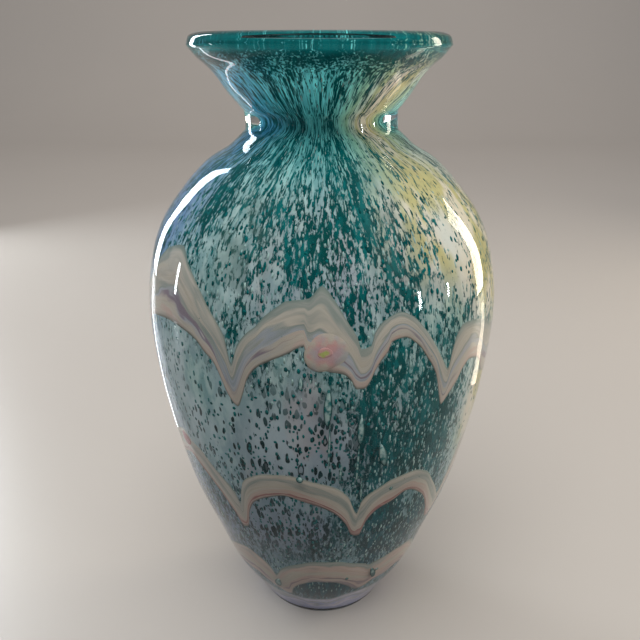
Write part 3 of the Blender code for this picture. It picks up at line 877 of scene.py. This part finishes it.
def opal_glass():
    """The opal coat seen from inside, with the shadow of the chips behind it."""
    c = colours()
    material, tree, shader = new_glass("pale_opal_lining", 0.5, 0.0)
    drawn = scaled(tree, own_place(tree), (1.0, 1.0, 0.35))
    mottle = banded(tree, cloudy(tree, drawn, 240.0, 3.0, 0.6), 0.35, 0.65)
    ground = blended(tree, mottle, c.aqua, c.pale_aqua)
    ground = blended(tree, banded(tree, cloudy(tree, drawn, 60.0), 0.48, 0.62), ground, c.lilac)
    shadow = banded(tree, cloudy(tree, drawn, 420.0, 2.0), 0.52, 0.60)
    coloured(tree, shader, blended(tree, times(tree, shadow, 0.55), ground, c.mid_teal))
    return material


def chip_glass(name, deep, light):
    """Loose looking chips that stand a little out of the coat."""
    material, tree, shader = new_glass(name, 0.5, 0.0)
    speck = cloudy(tree, own_place(tree), 900.0, 2.0)
    mixed = maths(tree, "MULTIPLY_ADD", speck, 0.4, times(tree, stored(tree, "tone"), 0.8))
    coloured(tree, shader, blended(tree, banded(tree, mixed, 0.2, 0.95), deep, light))
    return material


def trail_ramp(tree, shade, stops):
    """The colours across a trail, as a ramp of (place, colour) stops."""
    ramp = add_node(tree, "ShaderNodeValToRGB", {0: shade})
    ramp.color_ramp.interpolation = "EASE"
    elements = ramp.color_ramp.elements
    for element, (position, stop) in zip(elements, (stops[0], stops[-1])):
        element.position, element.color = position, with_alpha(stop)
    for position, stop in stops[1:-1]:
        elements.new(position).color = with_alpha(stop)
    return ramp.outputs[0]


def trail_glass(name, stops, wander, line_colour, line_place):
    """Streaked glass of a trail: colours across it, drawn out along it, and one thin dark line."""
    material, tree, shader = new_glass(name, 0.5, 0.0)
    path = stored(tree, "path", "Vector")
    streaks = use_group(tree, "drawn_streaks", {"Path": path, "Wander": wander})
    fine, broad, across = (streaks.outputs[key] for key in ("Fine", "Broad", "Across"))
    shade = maths(tree, "MULTIPLY_ADD", less(tree, broad, 0.5), 0.9, across)
    pale = times(tree, banded(tree, fine, 0.30, 0.74), 0.40)
    body = blended(tree, pale, trail_ramp(tree, shade, stops), (0.50, 0.45, 0.41))
    grain = banded(tree, cloudy(tree, scaled(tree, path, (5.0, 5.0, 34.0)), 1.0, 2.0), 0.5, 0.72)
    body = blended(tree, times(tree, grain, 0.20), body, (0.18, 0.20, 0.19))
    off = maths(tree, "ABSOLUTE", less(tree, across, line_place))
    thin = times(tree, less(tree, 1.0, banded(tree, off, 0.016, 0.06)), banded(tree, broad, 0.38, 0.50))
    body = blended(tree, times(tree, thin, 0.8), body, line_colour)
    flat_across = add_node(tree, "ShaderNodeSeparateXYZ", {0: path}).outputs[2]
    from_middle = maths(tree, "ABSOLUTE", less(tree, flat_across, 0.5))
    edge = times(tree, banded(tree, from_middle, 0.40, 0.50), 0.65)
    coloured(tree, shader, blended(tree, edge, body, colours().smear))
    raised(tree, shader, fine, 0.1 * MM)
    return material


def bit_glass(name, heart, rim, scale, haze):
    """A bit of colour that melts into its rim."""
    material, tree, shader = new_glass(name, 0.5, 0.0)
    swirl = cloudy(tree, own_place(tree), scale, 3.0, 0.6)
    reach = maths(tree, "MULTIPLY_ADD", less(tree, swirl, 0.5), 2.4, stored(tree, "reach"))
    body = blended(tree, banded(tree, reach, 0.22, 0.90), heart, rim)
    cloud = banded(tree, cloudy(tree, own_place(tree), scale * 0.6, 2.0), 0.44, 0.58)
    coloured(tree, shader, blended(tree, times(tree, cloud, haze), body, colours().lilac))
    raised(tree, shader, swirl, 0.3 * MM)
    return material


# ---------------------------------------------------------------- pieces


def core_depths():
    """How deep the outside and the inside of the core lie under the outside of the frit."""
    s = sizes()
    coats = s.frit_wall + s.opal_wall + 2 * s.gap
    return coats - s.contact, coats + s.core_wall


def casing_mesh(name):
    """The clear gather as one closed skin: cavity for the colour, rolled lip, wall, foot ring and punt."""
    s = sizes()
    skin = colour_line()
    cavity = evenly(offset(skin, -s.contact), 2.0 * MM)
    bore_end = offset(skin, -core_depths()[1])[-1]
    roll = evenly(lip_line(bore_end), 0.7 * MM)
    wall = evenly(outer_line(), 1.45 * MM)
    line = axis_to_axis(cavity, roll, wall[1:])
    line[:, 1] = np.clip(line[:, 1], 0.0, HEIGHT)
    return skin_mesh(name, turned_points(line, all_round(s.sides)), {})


def lining_mesh(name, outside_depth, inside_depth):
    """A thin vessel behind the frit, between two depths under the frit's outside."""
    skin = colour_line()
    outside, inside = (evenly(offset(skin, -depth), SHELL_SPACING) for depth in (outside_depth, inside_depth))
    return skin_mesh(name, turned_points(axis_to_axis(outside, inside[::-1]), all_round(SHELL_SIDES)), {})


class VASE_OT_clear_casing(bpy.types.Operator):
    """Build the thick clear outer gather, from the rolled lip to the foot"""

    bl_idname = "vase.clear_casing"
    bl_label = "Clear Casing"

    def execute(self, context):
        glass = clear_glass("clear_casing_glass", 0.015, 0.3 * MM)
        laid("casing_glass", glazed(casing_mesh("casing_glass"), glass), "clear_casing")
        return {"FINISHED"}


class VASE_OT_core_gather(bpy.types.Operator):
    """Build the clear blown core that holds the colour"""

    bl_idname = "vase.core_gather"
    bl_label = "Core Gather"

    def execute(self, context):
        glass = clear_glass("core_gather_glass", 0.02, 0.2 * MM)
        mesh = lining_mesh("core_glass", *core_depths())
        laid("core_glass", glazed(mesh, glass), "core_gather")
        return {"FINISHED"}


class VASE_OT_opal_coat(bpy.types.Operator):
    """Build the pale opal coat behind the frit"""

    bl_idname = "vase.opal_coat"
    bl_label = "Opal Coat"

    def execute(self, context):
        s = sizes()
        depth = s.frit_wall + s.gap
        mesh = lining_mesh("opal_lining", depth, depth + s.opal_wall)
        laid("opal_lining", glazed(mesh, opal_glass()), "opal_coat")
        return {"FINISHED"}


def frit_masks(line, turns):
    """Where the chips lie close, are dots, where the opal changes colour, and where the painted blue and gold
    sheens lie.
    """
    angle = np.degrees(turns)[None, :]
    level = line[:, 1:] / MM
    tables = {
        "cover": COVER_PATCHES, "dots": DOT_PATCHES, "lilac": LILAC_PATCHES, "gold_sheen": GOLD_SHEEN_PATCHES,
        "blue_sheen": BLUE_SHEEN_PATCHES, "smear": SMEAR_PATCHES, "pale": PALE_PATCHES,
    }
    masks = {key: patch_strength(patches, angle, level) for key, patches in tables.items()}
    masks["cover"] += COVER_SHARE + 0.04 * eased(level, 185.0, 215.0)
    # Fewer chips under the painted gold sheen
    masks["cover"] -= 0.10 * np.clip(masks["gold_sheen"], 0.0, 1.0)
    return {key: np.clip(values, 0.0, 1.0) for key, values in masks.items()}


def frit_skin_mesh(name):
    """The frit coat, with its flow and the strengths of its patches stored on it."""
    s = sizes()
    skin = colour_line()
    rim = skin[-1]
    curl = smooth_line([skin[-8], rim, rim + (0.8 * MM, 1.4 * MM), rim + (0.9 * MM, 3.4 * MM)])
    skin = np.vstack([skin[:-8], curl])
    outside = evenly(skin, 1.5 * MM)
    inside = evenly(offset(skin, -(s.frit_wall + s.gap + 0.05 * MM)), 4.0 * MM)[::-1]
    line = axis_to_axis(outside, inside)
    turns = all_round(s.sides)
    radius, height = outside.T
    narrow = eased(radius, *NARROWING) * (height > s.belly_height)
    near_rim = eased(HEIGHT - height, *UNDER_RIM)
    stretch = (CHIP_STRETCH + NECK_STRETCH * narrow) * (1.0 - RIM_RELEASE * near_rim)
    mean_stretch = (stretch[1:] + stretch[:-1]) / 2
    drawn = np.concatenate([[0.0], np.cumsum(np.diff(lengths_along(outside)) / mean_stretch)])
    heights = np.concatenate([drawn, np.full(len(inside), drawn[-1])])[:, None]
    around = FLOW_RADIUS * np.cos(turns), FLOW_RADIUS * np.sin(turns)
    flow = np.stack(np.broadcast_arrays(*around, heights), axis=-1)
    swell = np.broadcast_to(line[:, :1] / FLOW_RADIUS, (len(line), len(turns)))
    stored_values = {"flow": flow, "swell": swell, **frit_masks(line, turns)}
    return skin_mesh(name, turned_points(line, turns), stored_values)


class VASE_OT_frit_coat(bpy.types.Operator):
    """Build the coat of teal frit chips"""

    bl_idname = "vase.frit_coat"
    bl_label = "Frit Coat"

    def execute(self, context):
        laid("frit_skin", glazed(frit_skin_mesh("frit_skin"), frit_glass()), "frit_coat")
        return {"FINISHED"}


def trail_mesh(name, turns, over, under, fullness, thickness, place):
    """A pillowed band of glass all round the vase, whose points place gives from (across, lift)."""
    face, back = np.linspace(0.0, math.pi, over), np.linspace(math.pi, math.tau, under)[1:-1]
    rings, paths = [], []
    for theta in np.concatenate([face, back]):
        across = 0.5 - 0.5 * math.cos(theta)
        pillow = max(math.sin(theta), 0.0) ** fullness
        lift = thickness * pillow - EDGE_SINK if theta <= math.pi else -BACK_SINK
        rings.append(hand_blown(place(across, lift)))
        paths.append(np.stack(np.broadcast_arrays(np.cos(turns), np.sin(turns), across), axis=-1))
    return skin_mesh(name, np.array(rings), {"path": np.array(paths)}, joined=True)


def garland_mesh(name, top_points, bottom_points):
    """A combed garland: a band over the frit between its two edges."""
    skin = colour_line()
    turns = all_round(GARLAND_STATIONS)
    top, bottom = (flowing(points, np.degrees(turns)) * MM for points in (top_points, bottom_points))

    def place(across, lift):
        return on_frit(skin, turns, bottom + (top - bottom) * across, lift)

    return trail_mesh(name, turns, 15, 6, 0.6, sizes().trail_thickness, place)


def heel_wrap_mesh(name):
    """The band round the heel, from under the foot up to its wavering edge."""
    s = sizes()
    skin = colour_line()
    across_skin = sides_of(skin)
    run = lengths_along(skin)
    turns = all_round(WRAP_STATIONS)
    edge = flowing(WRAP_EDGE, np.degrees(turns)) * MM
    under = slice(0, 40)
    side = int(np.argmax(skin[:, 1] > 6.0 * MM))
    wall = slice(side, side + 160)
    start = np.interp(s.wrap_inner_radius + 0.5 * MM, skin[under, 0], run[under])
    finish = np.interp(edge, skin[wall, 1], run[wall])

    def place(across, lift):
        stop = start + (finish - start) * across
        radius, height = (
            np.interp(stop, run, skin[:, k]) + np.interp(stop, run, across_skin[:, k]) * lift for k in (0, 1)
        )
        return ring_points(radius, turns, height)

    return trail_mesh(name, turns, 19, 8, 0.45, s.wrap_thickness, place)


class VASE_OT_garlands(bpy.types.Operator):
    """Build the three combed garlands"""

    bl_idname = "vase.garlands"
    bl_label = "Combed Garlands"

    def execute(self, context):
        c = colours()
        upper_stops = (
            (0.05, c.peach), (0.2, c.cream), (0.36, c.lilac), (0.5, c.grey_green), (0.66, c.cream),
            (0.95, c.grey_green),
        )
        middle_stops = (
            (0.02, c.maroon), (0.16, c.peach), (0.40, c.cream), (0.70, c.grey_green), (0.95, c.cream),
        )
        lower_stops = (
            (0.02, c.mauve), (0.18, c.peach), (0.45, c.cream), (0.75, c.peach), (0.95, c.grey_green),
        )
        rows = (
            ("upper", UPPER_TOP, UPPER_BOTTOM, UPPER_BACK,
             upper_stops, 0.55, c.mauve, 0.30, "cream_trail"),
            ("middle", MIDDLE_TOP, MIDDLE_BOTTOM, MIDDLE_BACK,
             middle_stops, 0.40, c.maroon, 0.14, "cream_trail"),
            ("lower", LOWER_TOP, LOWER_BOTTOM, LOWER_BACK,
             lower_stops, 0.35, c.mauve, 0.26, "blush_trail"),
        )
        for name, top, bottom, behind, stops, wander, line, line_place, slot in rows:
            edges = edge_all_round(top, behind, 1), edge_all_round(bottom, behind, 2)
            glass = trail_glass(name + "_trail_glass", stops, wander, line, line_place)
            mesh = glazed(garland_mesh(name + "_garland", *edges), glass)
            laid(name + "_garland", mesh, name + "_trail")
        return {"FINISHED"}


class VASE_OT_heel_wrap(bpy.types.Operator):
    """Build the lilac wrap round the heel"""

    bl_idname = "vase.heel_wrap"
    bl_label = "Heel Wrap"

    def execute(self, context):
        c = colours()
        stops = (
            (0.0, c.lilac_wrap), (0.35, c.wrap_blue), (0.6, c.lilac_wrap), (0.85, c.lilac),
            (1.0, c.lilac_wrap),
        )
        glass = trail_glass("lilac_wrap_glass", stops, 0.5, c.wrap_blue, 0.7)
        laid("heel_wrap", glazed(heel_wrap_mesh("heel_wrap"), glass), "base_wrap")
        return {"FINISHED"}


def bit_mesh(name, angle, height, half_width, half_height, low, high):
    """A flattened, slightly lopsided bit of glass over the frit, from its middle round to its back."""
    skin = colour_line()
    radius = place_on(skin, height)[0]
    turns = all_round(BIT_STATIONS)
    lopsided = 1.0 + 0.08 * np.sin(2 * turns + 0.7) + 0.06 * np.sin(3 * turns + 2.0)
    front = [(reach, (1.0 - reach ** 3) ** 0.5) for reach in np.linspace(0.0, 1.0, 15)]
    back = [(reach, 0.0) for reach in (0.97, 0.6, 0.3, 0.0)]
    rings, reaches = [], []
    for reach, dome in front + back:
        turn = math.radians(angle) + reach * lopsided * np.cos(turns) * half_width / radius
        level = height + reach * lopsided * np.sin(turns) * half_height
        rings.append(hand_blown(on_frit(skin, turn, level, low + (high - low) * dome)))
        reaches.append(np.full(len(turns), reach))
    return skin_mesh(name, np.array(rings), {"reach": np.array(reaches)})


class VASE_OT_inlaid_bits(bpy.types.Operator):
    """Build the pink bit with its green eye, and the crimson bit"""

    bl_idname = "vase.inlaid_bits"
    bl_label = "Inlaid Bits"

    def execute(self, context):
        c = colours()
        top = sizes().bit_thickness
        rows = (
            ("pink_prunt", (1.4, 0.1545, 0.0078, 0.0078, -BACK_SINK, top),
             (c.pink, c.cream, 210.0, 0.45), "pink_glass", "pink_bit"),
            ("green_spot", (0.8, 0.1542, 0.0023, 0.0019, 0.9 * MM, top + 0.15 * MM),
             (c.eye_green, c.pink, 500.0, 0.1), "green_glass", "green_eye"),
            ("crimson_prunt", (-58.0, 0.1010, 0.0043, 0.0040, -BACK_SINK, top),
             (c.crimson, c.maroon, 300.0, 0.0), "crimson_glass", "crimson_bit"),
        )
        for name, shape, glass, slot, node in rows:
            laid(name, glazed(bit_mesh(name, *shape), bit_glass(name + "_glass", *glass)), node)
        return {"FINISHED"}


# ---------------------------------------------------------------- scattered chips and seeds


def bead_sizes(tree, given, swell):
    """Random sizes between the smallest and the largest, narrowed where the vase is narrow."""
    ends = {0: given["Smallest"], 1: given["Largest"], "Seed": given["Seed"]}
    size = add_node(tree, "FunctionNodeRandomValue", ends, data_type="FLOAT_VECTOR").outputs["Value"]
    narrowed = add_node(tree, "ShaderNodeCombineXYZ", {0: swell, 1: 1.0, 2: 1.0}).outputs[0]
    return add_node(tree, "ShaderNodeVectorMath", {0: size, 1: narrowed}, operation="MULTIPLY").outputs[0]


def bead_turns(tree, normal):
    """Beads lie flat on the skin, with their length upwards."""
    facing = add_node(tree, "FunctionNodeAlignRotationToVector", {"Vector": normal}, axis="Z").outputs[0]
    sockets = {"Rotation": facing, "Vector": (0.0, 0.0, 1.0)}
    upright = add_node(tree, "FunctionNodeAlignRotationToVector", sockets, axis="Y", pivot_axis="Z")
    return upright.outputs[0]


def scatter_tree():
    """Geometry nodes that scatter small drawn out beads over a skin, with named inputs."""
    tree = bpy.data.node_groups.new("scattered_beads", "GeometryNodeTree")
    kinds = {
        "Skin": "Geometry", "Spacing": "Float", "Density": "Float", "Seed": "Int", "Smallest": "Vector",
        "Largest": "Vector", "Where": "String", "Glass": "Material",
    }
    for label, kind in kinds.items():
        tree.interface.new_socket(name=label, in_out="INPUT", socket_type="NodeSocket" + kind)
    tree.interface.new_socket(name="Beads", in_out="OUTPUT", socket_type="NodeSocketGeometry")
    given = tree.nodes.new("NodeGroupInput").outputs
    where, swell = (
        add_node(tree, "GeometryNodeInputNamedAttribute", {"Name": key}, data_type="FLOAT").outputs[0]
        for key in (given["Where"], "swell")
    )
    sockets = {
        "Mesh": given["Skin"], "Distance Min": given["Spacing"], "Density Max": given["Density"],
        "Density Factor": where, "Seed": given["Seed"],
    }
    spread = add_node(tree, "GeometryNodeDistributePointsOnFaces", sockets, distribute_method="POISSON")
    bead = add_node(tree, "GeometryNodeMeshIcoSphere", {"Radius": 1.0, "Subdivisions": 1}).outputs["Mesh"]
    sockets = {
        "Points": spread.outputs["Points"], "Instance": bead,
        "Rotation": bead_turns(tree, spread.outputs["Normal"]), "Scale": bead_sizes(tree, given, swell),
    }
    placed = add_node(tree, "GeometryNodeInstanceOnPoints", sockets).outputs[0]
    draw = {2: 0.0, 3: 1.0, "Seed": given["Seed"]}
    tone = add_node(tree, "FunctionNodeRandomValue", draw, data_type="FLOAT").outputs[1]
    sockets = {"Geometry": placed, "Name": "tone", "Value": tone}
    toned = add_node(
        tree, "GeometryNodeStoreNamedAttribute", sockets, data_type="FLOAT", domain="INSTANCE"
    ).outputs[0]
    real = add_node(tree, "GeometryNodeRealizeInstances", {"Geometry": toned}).outputs[0]
    smooth = add_node(tree, "GeometryNodeSetShadeSmooth", {"Geometry": real}).outputs[0]
    finished = {"Geometry": smooth, "Material": given["Glass"]}
    coated = add_node(tree, "GeometryNodeSetMaterial", finished).outputs[0]
    tree.links.new(coated, tree.nodes.new("NodeGroupOutput").inputs[0])
    return tree


def scattered(name, skin, slot, **values):
    """Beads scattered over a skin by geometry nodes, as one plain mesh that rides on the vase."""
    tree = bpy.data.node_groups.get("scattered_beads") or scatter_tree()
    host = bpy.data.objects.new(name + "_host", skin)
    bpy.context.scene.collection.objects.link(host)
    modifier = host.modifiers.new("beads", "NODES")
    modifier.node_group = tree
    identifiers = {item.name: item.identifier for item in tree.interface.items_tree if item.in_out == "INPUT"}
    for label, value in values.items():
        modifier[identifiers[label.capitalize()]] = value
    evaluated = host.evaluated_get(bpy.context.evaluated_depsgraph_get())
    mesh = bpy.data.meshes.new_from_object(evaluated)
    host.modifiers.remove(modifier)
    bpy.data.objects.remove(host)
    if not mesh.polygons:
        raise RuntimeError(name + " has no beads")
    mesh.name = name
    return laid(name, mesh)


def chip_host_mesh(name):
    """The frit coat again, with where dark and pale chips may stand stored on it."""
    mesh = frit_skin_mesh(name)
    count = len(mesh.vertices)
    place, cover, dots = (np.zeros(size, np.float32) for size in (count * 3, count, count))
    mesh.vertices.foreach_get("co", place)
    mesh.attributes["cover"].data.foreach_get("value", cover)
    mesh.attributes["dots"].data.foreach_get("value", dots)
    x, y, z = place.reshape(-1, 3).T
    skin = colour_line()
    start = int(np.argmax(skin[:, 0] > 29.0 * MM))
    wall_radius = np.interp(z, skin[start:, 1], skin[start:, 0])
    outer = (np.abs(np.hypot(x, y) - wall_radius) < 1.2 * MM) & (z > 26.0 * MM) & (z < HEIGHT - 12.0 * MM)
    chances = {
        "dark_here": outer * (0.35 + 0.65 * dots) * (0.25 + cover),
        "pale_here": outer * (1.0 - dots) * np.clip(cover, 0.2, 1.0),
    }
    for key, chance in chances.items():
        layer = mesh.attributes.new(key, "FLOAT", "POINT")
        layer.data.foreach_set("value", np.clip(chance, 0.0, 1.0).astype(np.float32))
    return mesh


class VASE_OT_frit_chips(bpy.types.Operator):
    """Scatter the chips that stand out of the frit coat"""

    bl_idname = "vase.frit_chips"
    bl_label = "Frit Chips"

    def execute(self, context):
        c = colours()
        host = chip_host_mesh("chip_host")
        scattered(
            "teal_chips", host, "teal_frit", where="dark_here", spacing=1.25 * MM, density=300000.0, seed=3,
            smallest=(0.34 * MM, 0.50 * MM, 0.10 * MM), largest=(0.72 * MM, 1.40 * MM, 0.16 * MM),
            glass=chip_glass("teal_chip_glass", c.deep_teal, c.mid_teal),
        )
        scattered(
            "pale_chips", host, "pale_opal", where="pale_here", spacing=1.4 * MM, density=200000.0, seed=8,
            smallest=(0.24 * MM, 0.6 * MM, 0.08 * MM), largest=(0.50 * MM, 1.7 * MM, 0.14 * MM),
            glass=chip_glass("pale_chip_glass", c.aqua, c.pale_aqua),
        )
        return {"FINISHED"}


def tears_mesh(name):
    """The long tear bubbles and the larger round seeds, each a drawn out ball over the frit."""
    skin = colour_line()
    rows = [(*tear, 0.9) for tear in TEARS]
    rows += [(angle, height, wide, wide * 1.15, 0.0, 1.3) for angle, height, wide in ROUND_SEEDS]
    ball = bmesh.new()
    bmesh.ops.create_uvsphere(ball, u_segments=20, v_segments=14, radius=1.0)
    unit = np.array([vert.co for vert in ball.verts])
    faces = [[vert.index for vert in face.verts] for face in ball.faces]
    ball.free()
    points, polygons = [], []
    for angle, height, half_width, half_height, slant, lift in rows:
        radius = place_on(skin, height * MM)[0]
        depth = min(half_width, 1.4) * MM * 0.6
        tilt = math.radians(slant)
        taper = 1.0 - 0.35 * (unit[:, 2] > 0) * unit[:, 2] * (half_height > 2 * half_width)
        side = unit[:, 0] * half_width * MM * taper
        rise = unit[:, 2] * half_height * MM
        turn = math.radians(angle) + (side * math.cos(tilt) + rise * math.sin(tilt)) / radius
        level = height * MM + rise * math.cos(tilt) - side * math.sin(tilt)
        polygons += [[i + len(points) * len(unit) for i in face] for face in faces]
        points.append(hand_blown(on_frit(skin, turn, level, lift * MM + depth + unit[:, 1] * depth)))
    return closed_mesh(name, np.vstack(points).tolist(), polygons)


def seed_host_mesh(name):
    """A skin inside the casing on which the fine seeds lie, closed across at both ends."""
    body = evenly(offset(colour_line(), 1.6 * MM), 4.0 * MM)
    body = body[(body[:, 0] > 30.0 * MM) & (body[:, 1] < 205.0 * MM) & (body[:, 1] > 20.0 * MM)]
    body = np.vstack([(0.0, body[0, 1]), body, (0.0, body[-1, 1])])
    turns = all_round(SEED_HOST_SIDES)
    here = np.zeros((len(body), len(turns)))
    here[2:-2] = 1.0
    return skin_mesh(name, turned_points(body, turns), {"here": here, "swell": np.ones_like(here)})


class VASE_OT_seeds(bpy.types.Operator):
    """Build the seeds and tear bubbles trapped in the casing"""

    bl_idname = "vase.seeds"
    bl_label = "Seeds and Tears"

    def execute(self, context):
        air = air_glass()
        laid("tear_bubbles", glazed(tears_mesh("tear_bubbles"), air))
        scattered(
            "casing_seeds", seed_host_mesh("seed_host"), "clear_glass", where="here", spacing=5.0 * MM,
            density=2200.0, seed=21, smallest=(0.12 * MM, 0.14 * MM, 0.12 * MM),
            largest=(0.28 * MM, 0.42 * MM, 0.26 * MM), glass=air,
        )
        return {"FINISHED"}


# ---------------------------------------------------------------- studio

MIDDLE = Vector((0.0, 0.0, 0.12))
LAMP_DISTANCE = 0.85


def lamp(name, place, target, width, height, power, tint):
    """A soft rectangular lamp that the camera doesn't see."""
    light = bpy.data.lights.new(name, "AREA")
    light.shape = "RECTANGLE"
    light.size = width
    light.size_y = height
    light.energy = power
    light.color = tint
    obj = bpy.data.objects.new(name, light)
    obj.location = place
    obj.rotation_euler = (Vector(target) - Vector(place)).to_track_quat("-Z", "Y").to_euler()
    obj.visible_camera = False
    bpy.context.scene.collection.objects.link(obj)
    return obj


def round_the_vase(azimuth, distance, height):
    """A place at an angle in degrees from the front, a distance from the axis and a height."""
    turn = math.radians(azimuth)
    return (distance * math.sin(turn), -distance * math.cos(turn), height)


def sweep_mesh():
    """A pale floor that curves up behind into a backdrop."""
    bend = [(1.6 + 0.8 * math.sin(t), 0.8 - 0.8 * math.cos(t)) for t in np.linspace(0.0, math.pi / 2, 16)]
    line = [(-2.5, 0.0), (0.0, 0.0)] + bend + [(2.4, 3.0)]
    mesh = bpy.data.meshes.new("studio_floor")
    points = [(x, y, z) for y, z in line for x in (-3.5, 3.5)]
    faces = [(2 * i, 2 * i + 1, 2 * i + 3, 2 * i + 2) for i in range(len(line) - 1)]
    mesh.from_pydata(points, [], faces)
    mesh.shade_smooth()
    return mesh


def studio_floor(settings):
    """The pale paper floor."""
    material, tree, shader = new_glass("studio_paper", 0.34, 0.5)
    grain = cloudy(tree, own_place(tree), 3.0, 2.0)
    shade = tuple(0.94 * value for value in settings.floor_colour)
    coloured(tree, shader, blended(tree, grain, shade, settings.floor_colour))
    floor = bpy.data.objects.new("studio_floor", glazed(sweep_mesh(), material))
    bpy.context.scene.collection.objects.link(floor)
    return floor


def studio_lamps():
    """Two windows, glints, a soft overhead light and the windows' low images in the table."""
    daylight, sunlight = (0.90, 0.96, 1.0), (1.0, 0.90, 0.74)
    warm, cool = (1.0, 0.97, 0.92), (0.95, 0.98, 1.0)
    rows = (
        ("window_left", -135, 0.42, 0.42, 0.125, 0.82, 4.0, daylight),
        ("window_right", 116, 0.29, 0.29, 0.17, 0.56, 3.0, sunlight),
        ("side_glint", 60, 0.19, MIDDLE.z, 0.03, 0.10, 0.8, warm),
        ("low_glint", 82, 0.17, MIDDLE.z, 0.03, 0.08, 0.5, warm),
        ("neck_glint", -101, 0.15, MIDDLE.z, 0.03, 0.18, 0.6, cool),
    )
    for name, azimuth, height, aim, width, tall, power, tint in rows:
        place = round_the_vase(azimuth, LAMP_DISTANCE, height)
        lamp(name, place, (0.0, 0.0, aim), width, tall, power, tint)
    key = lamp("overhead", (-0.1, -0.45, 1.25), MIDDLE, 0.9, 0.9, 15.5, (1.0, 0.98, 0.95))
    wash = lamp("backdrop_wash", (0.0, 0.9, 2.2), (0.0, 2.4, 0.6), 2.4, 0.5, 30.0, (1.0, 0.93, 0.86))
    for soft in (key, wash):
        soft.visible_glossy = False
        soft.visible_transmission = False
    for name, azimuth, distance, width, long, power, tint in (
        ("table_sheen_left", -136, 0.40, 0.018, 0.46, 0.10, (0.92, 0.96, 1.0)),
        ("table_sheen_right", 118, 0.45, 0.045, 0.42, 0.16, (1.0, 0.88, 0.70)),
    ):
        sheen = lamp(name, round_the_vase(azimuth, distance, 3.0 * MM), MIDDLE, width, long, power, tint)
        sheen.rotation_euler = (math.pi, 0.0, math.radians(azimuth))


def studio_sky(settings):
    """Soft light from all round."""
    world = bpy.data.worlds.new("soft_sky")
    world.use_nodes = True
    sky = world.node_tree.nodes["Background"]
    sky.inputs["Color"].default_value = with_alpha(settings.sky_colour)
    sky.inputs["Strength"].default_value = settings.sky_strength
    return world


def studio_camera(settings):
    """The camera in front of the vase, a little above its rim, looking down."""
    view = bpy.data.cameras.new("studio_camera")
    view.lens = settings.lens
    view.sensor_width = 36.0
    view.shift_x = settings.aim_shift
    view.clip_start = 0.01
    camera = bpy.data.objects.new("studio_camera", view)
    camera.location = (0.0, -settings.distance, settings.eye_height)
    camera.rotation_euler = (math.pi / 2 - settings.tilt, 0.0, 0.0)
    bpy.context.scene.collection.objects.link(camera)
    return camera


class VASE_OT_studio(bpy.types.Operator):
    """Set up the floor, the lamps and the camera"""

    bl_idname = "vase.studio"
    bl_label = "Studio"

    def execute(self, context):
        scene = context.scene
        studio_floor(scene.vase_studio)
        studio_lamps()
        scene.world = studio_sky(scene.vase_studio)
        scene.camera = studio_camera(scene.vase_studio)
        scene.view_settings.view_transform = "Standard"
        return {"FINISHED"}


OPERATORS = (
    VASE_OT_clear_casing, VASE_OT_core_gather, VASE_OT_opal_coat, VASE_OT_frit_coat, VASE_OT_garlands,
    VASE_OT_heel_wrap, VASE_OT_inlaid_bits, VASE_OT_frit_chips, VASE_OT_seeds, VASE_OT_studio,
)


class VASE_PT_glass_vase(bpy.types.Panel):
    """Lists the lays of the vase"""

    bl_label = "Glass Vase"
    bl_idname = "VASE_PT_glass_vase"
    bl_space_type = "VIEW_3D"
    bl_region_type = "UI"
    bl_category = "Vase"

    def draw(self, context):
        for operator in OPERATORS:
            self.layout.operator(operator.bl_idname)
        for name in SETTINGS:
            group = getattr(context.scene, name)
            for key in group.bl_rna.properties.keys():
                if key not in ("rna_type", "name"):
                    self.layout.prop(group, key)


SETTINGS = {"vase_sizes": VaseSizes, "vase_colours": GlassColours, "vase_studio": StudioSettings}
CLASSES = (*SETTINGS.values(), *OPERATORS, VASE_PT_glass_vase)


def register():
    for cls in CLASSES:
        bpy.utils.register_class(cls)
    for name, settings in SETTINGS.items():
        setattr(bpy.types.Scene, name, PointerProperty(type=settings))


def unregister():
    for name in SETTINGS:
        delattr(bpy.types.Scene, name)
    for cls in reversed(CLASSES):
        bpy.utils.unregister_class(cls)


def main():
    register()
    for operator in OPERATORS:
        group, name = operator.bl_idname.split(".")
        getattr(getattr(bpy.ops, group), name)()


if __name__ == "__main__":
    main()
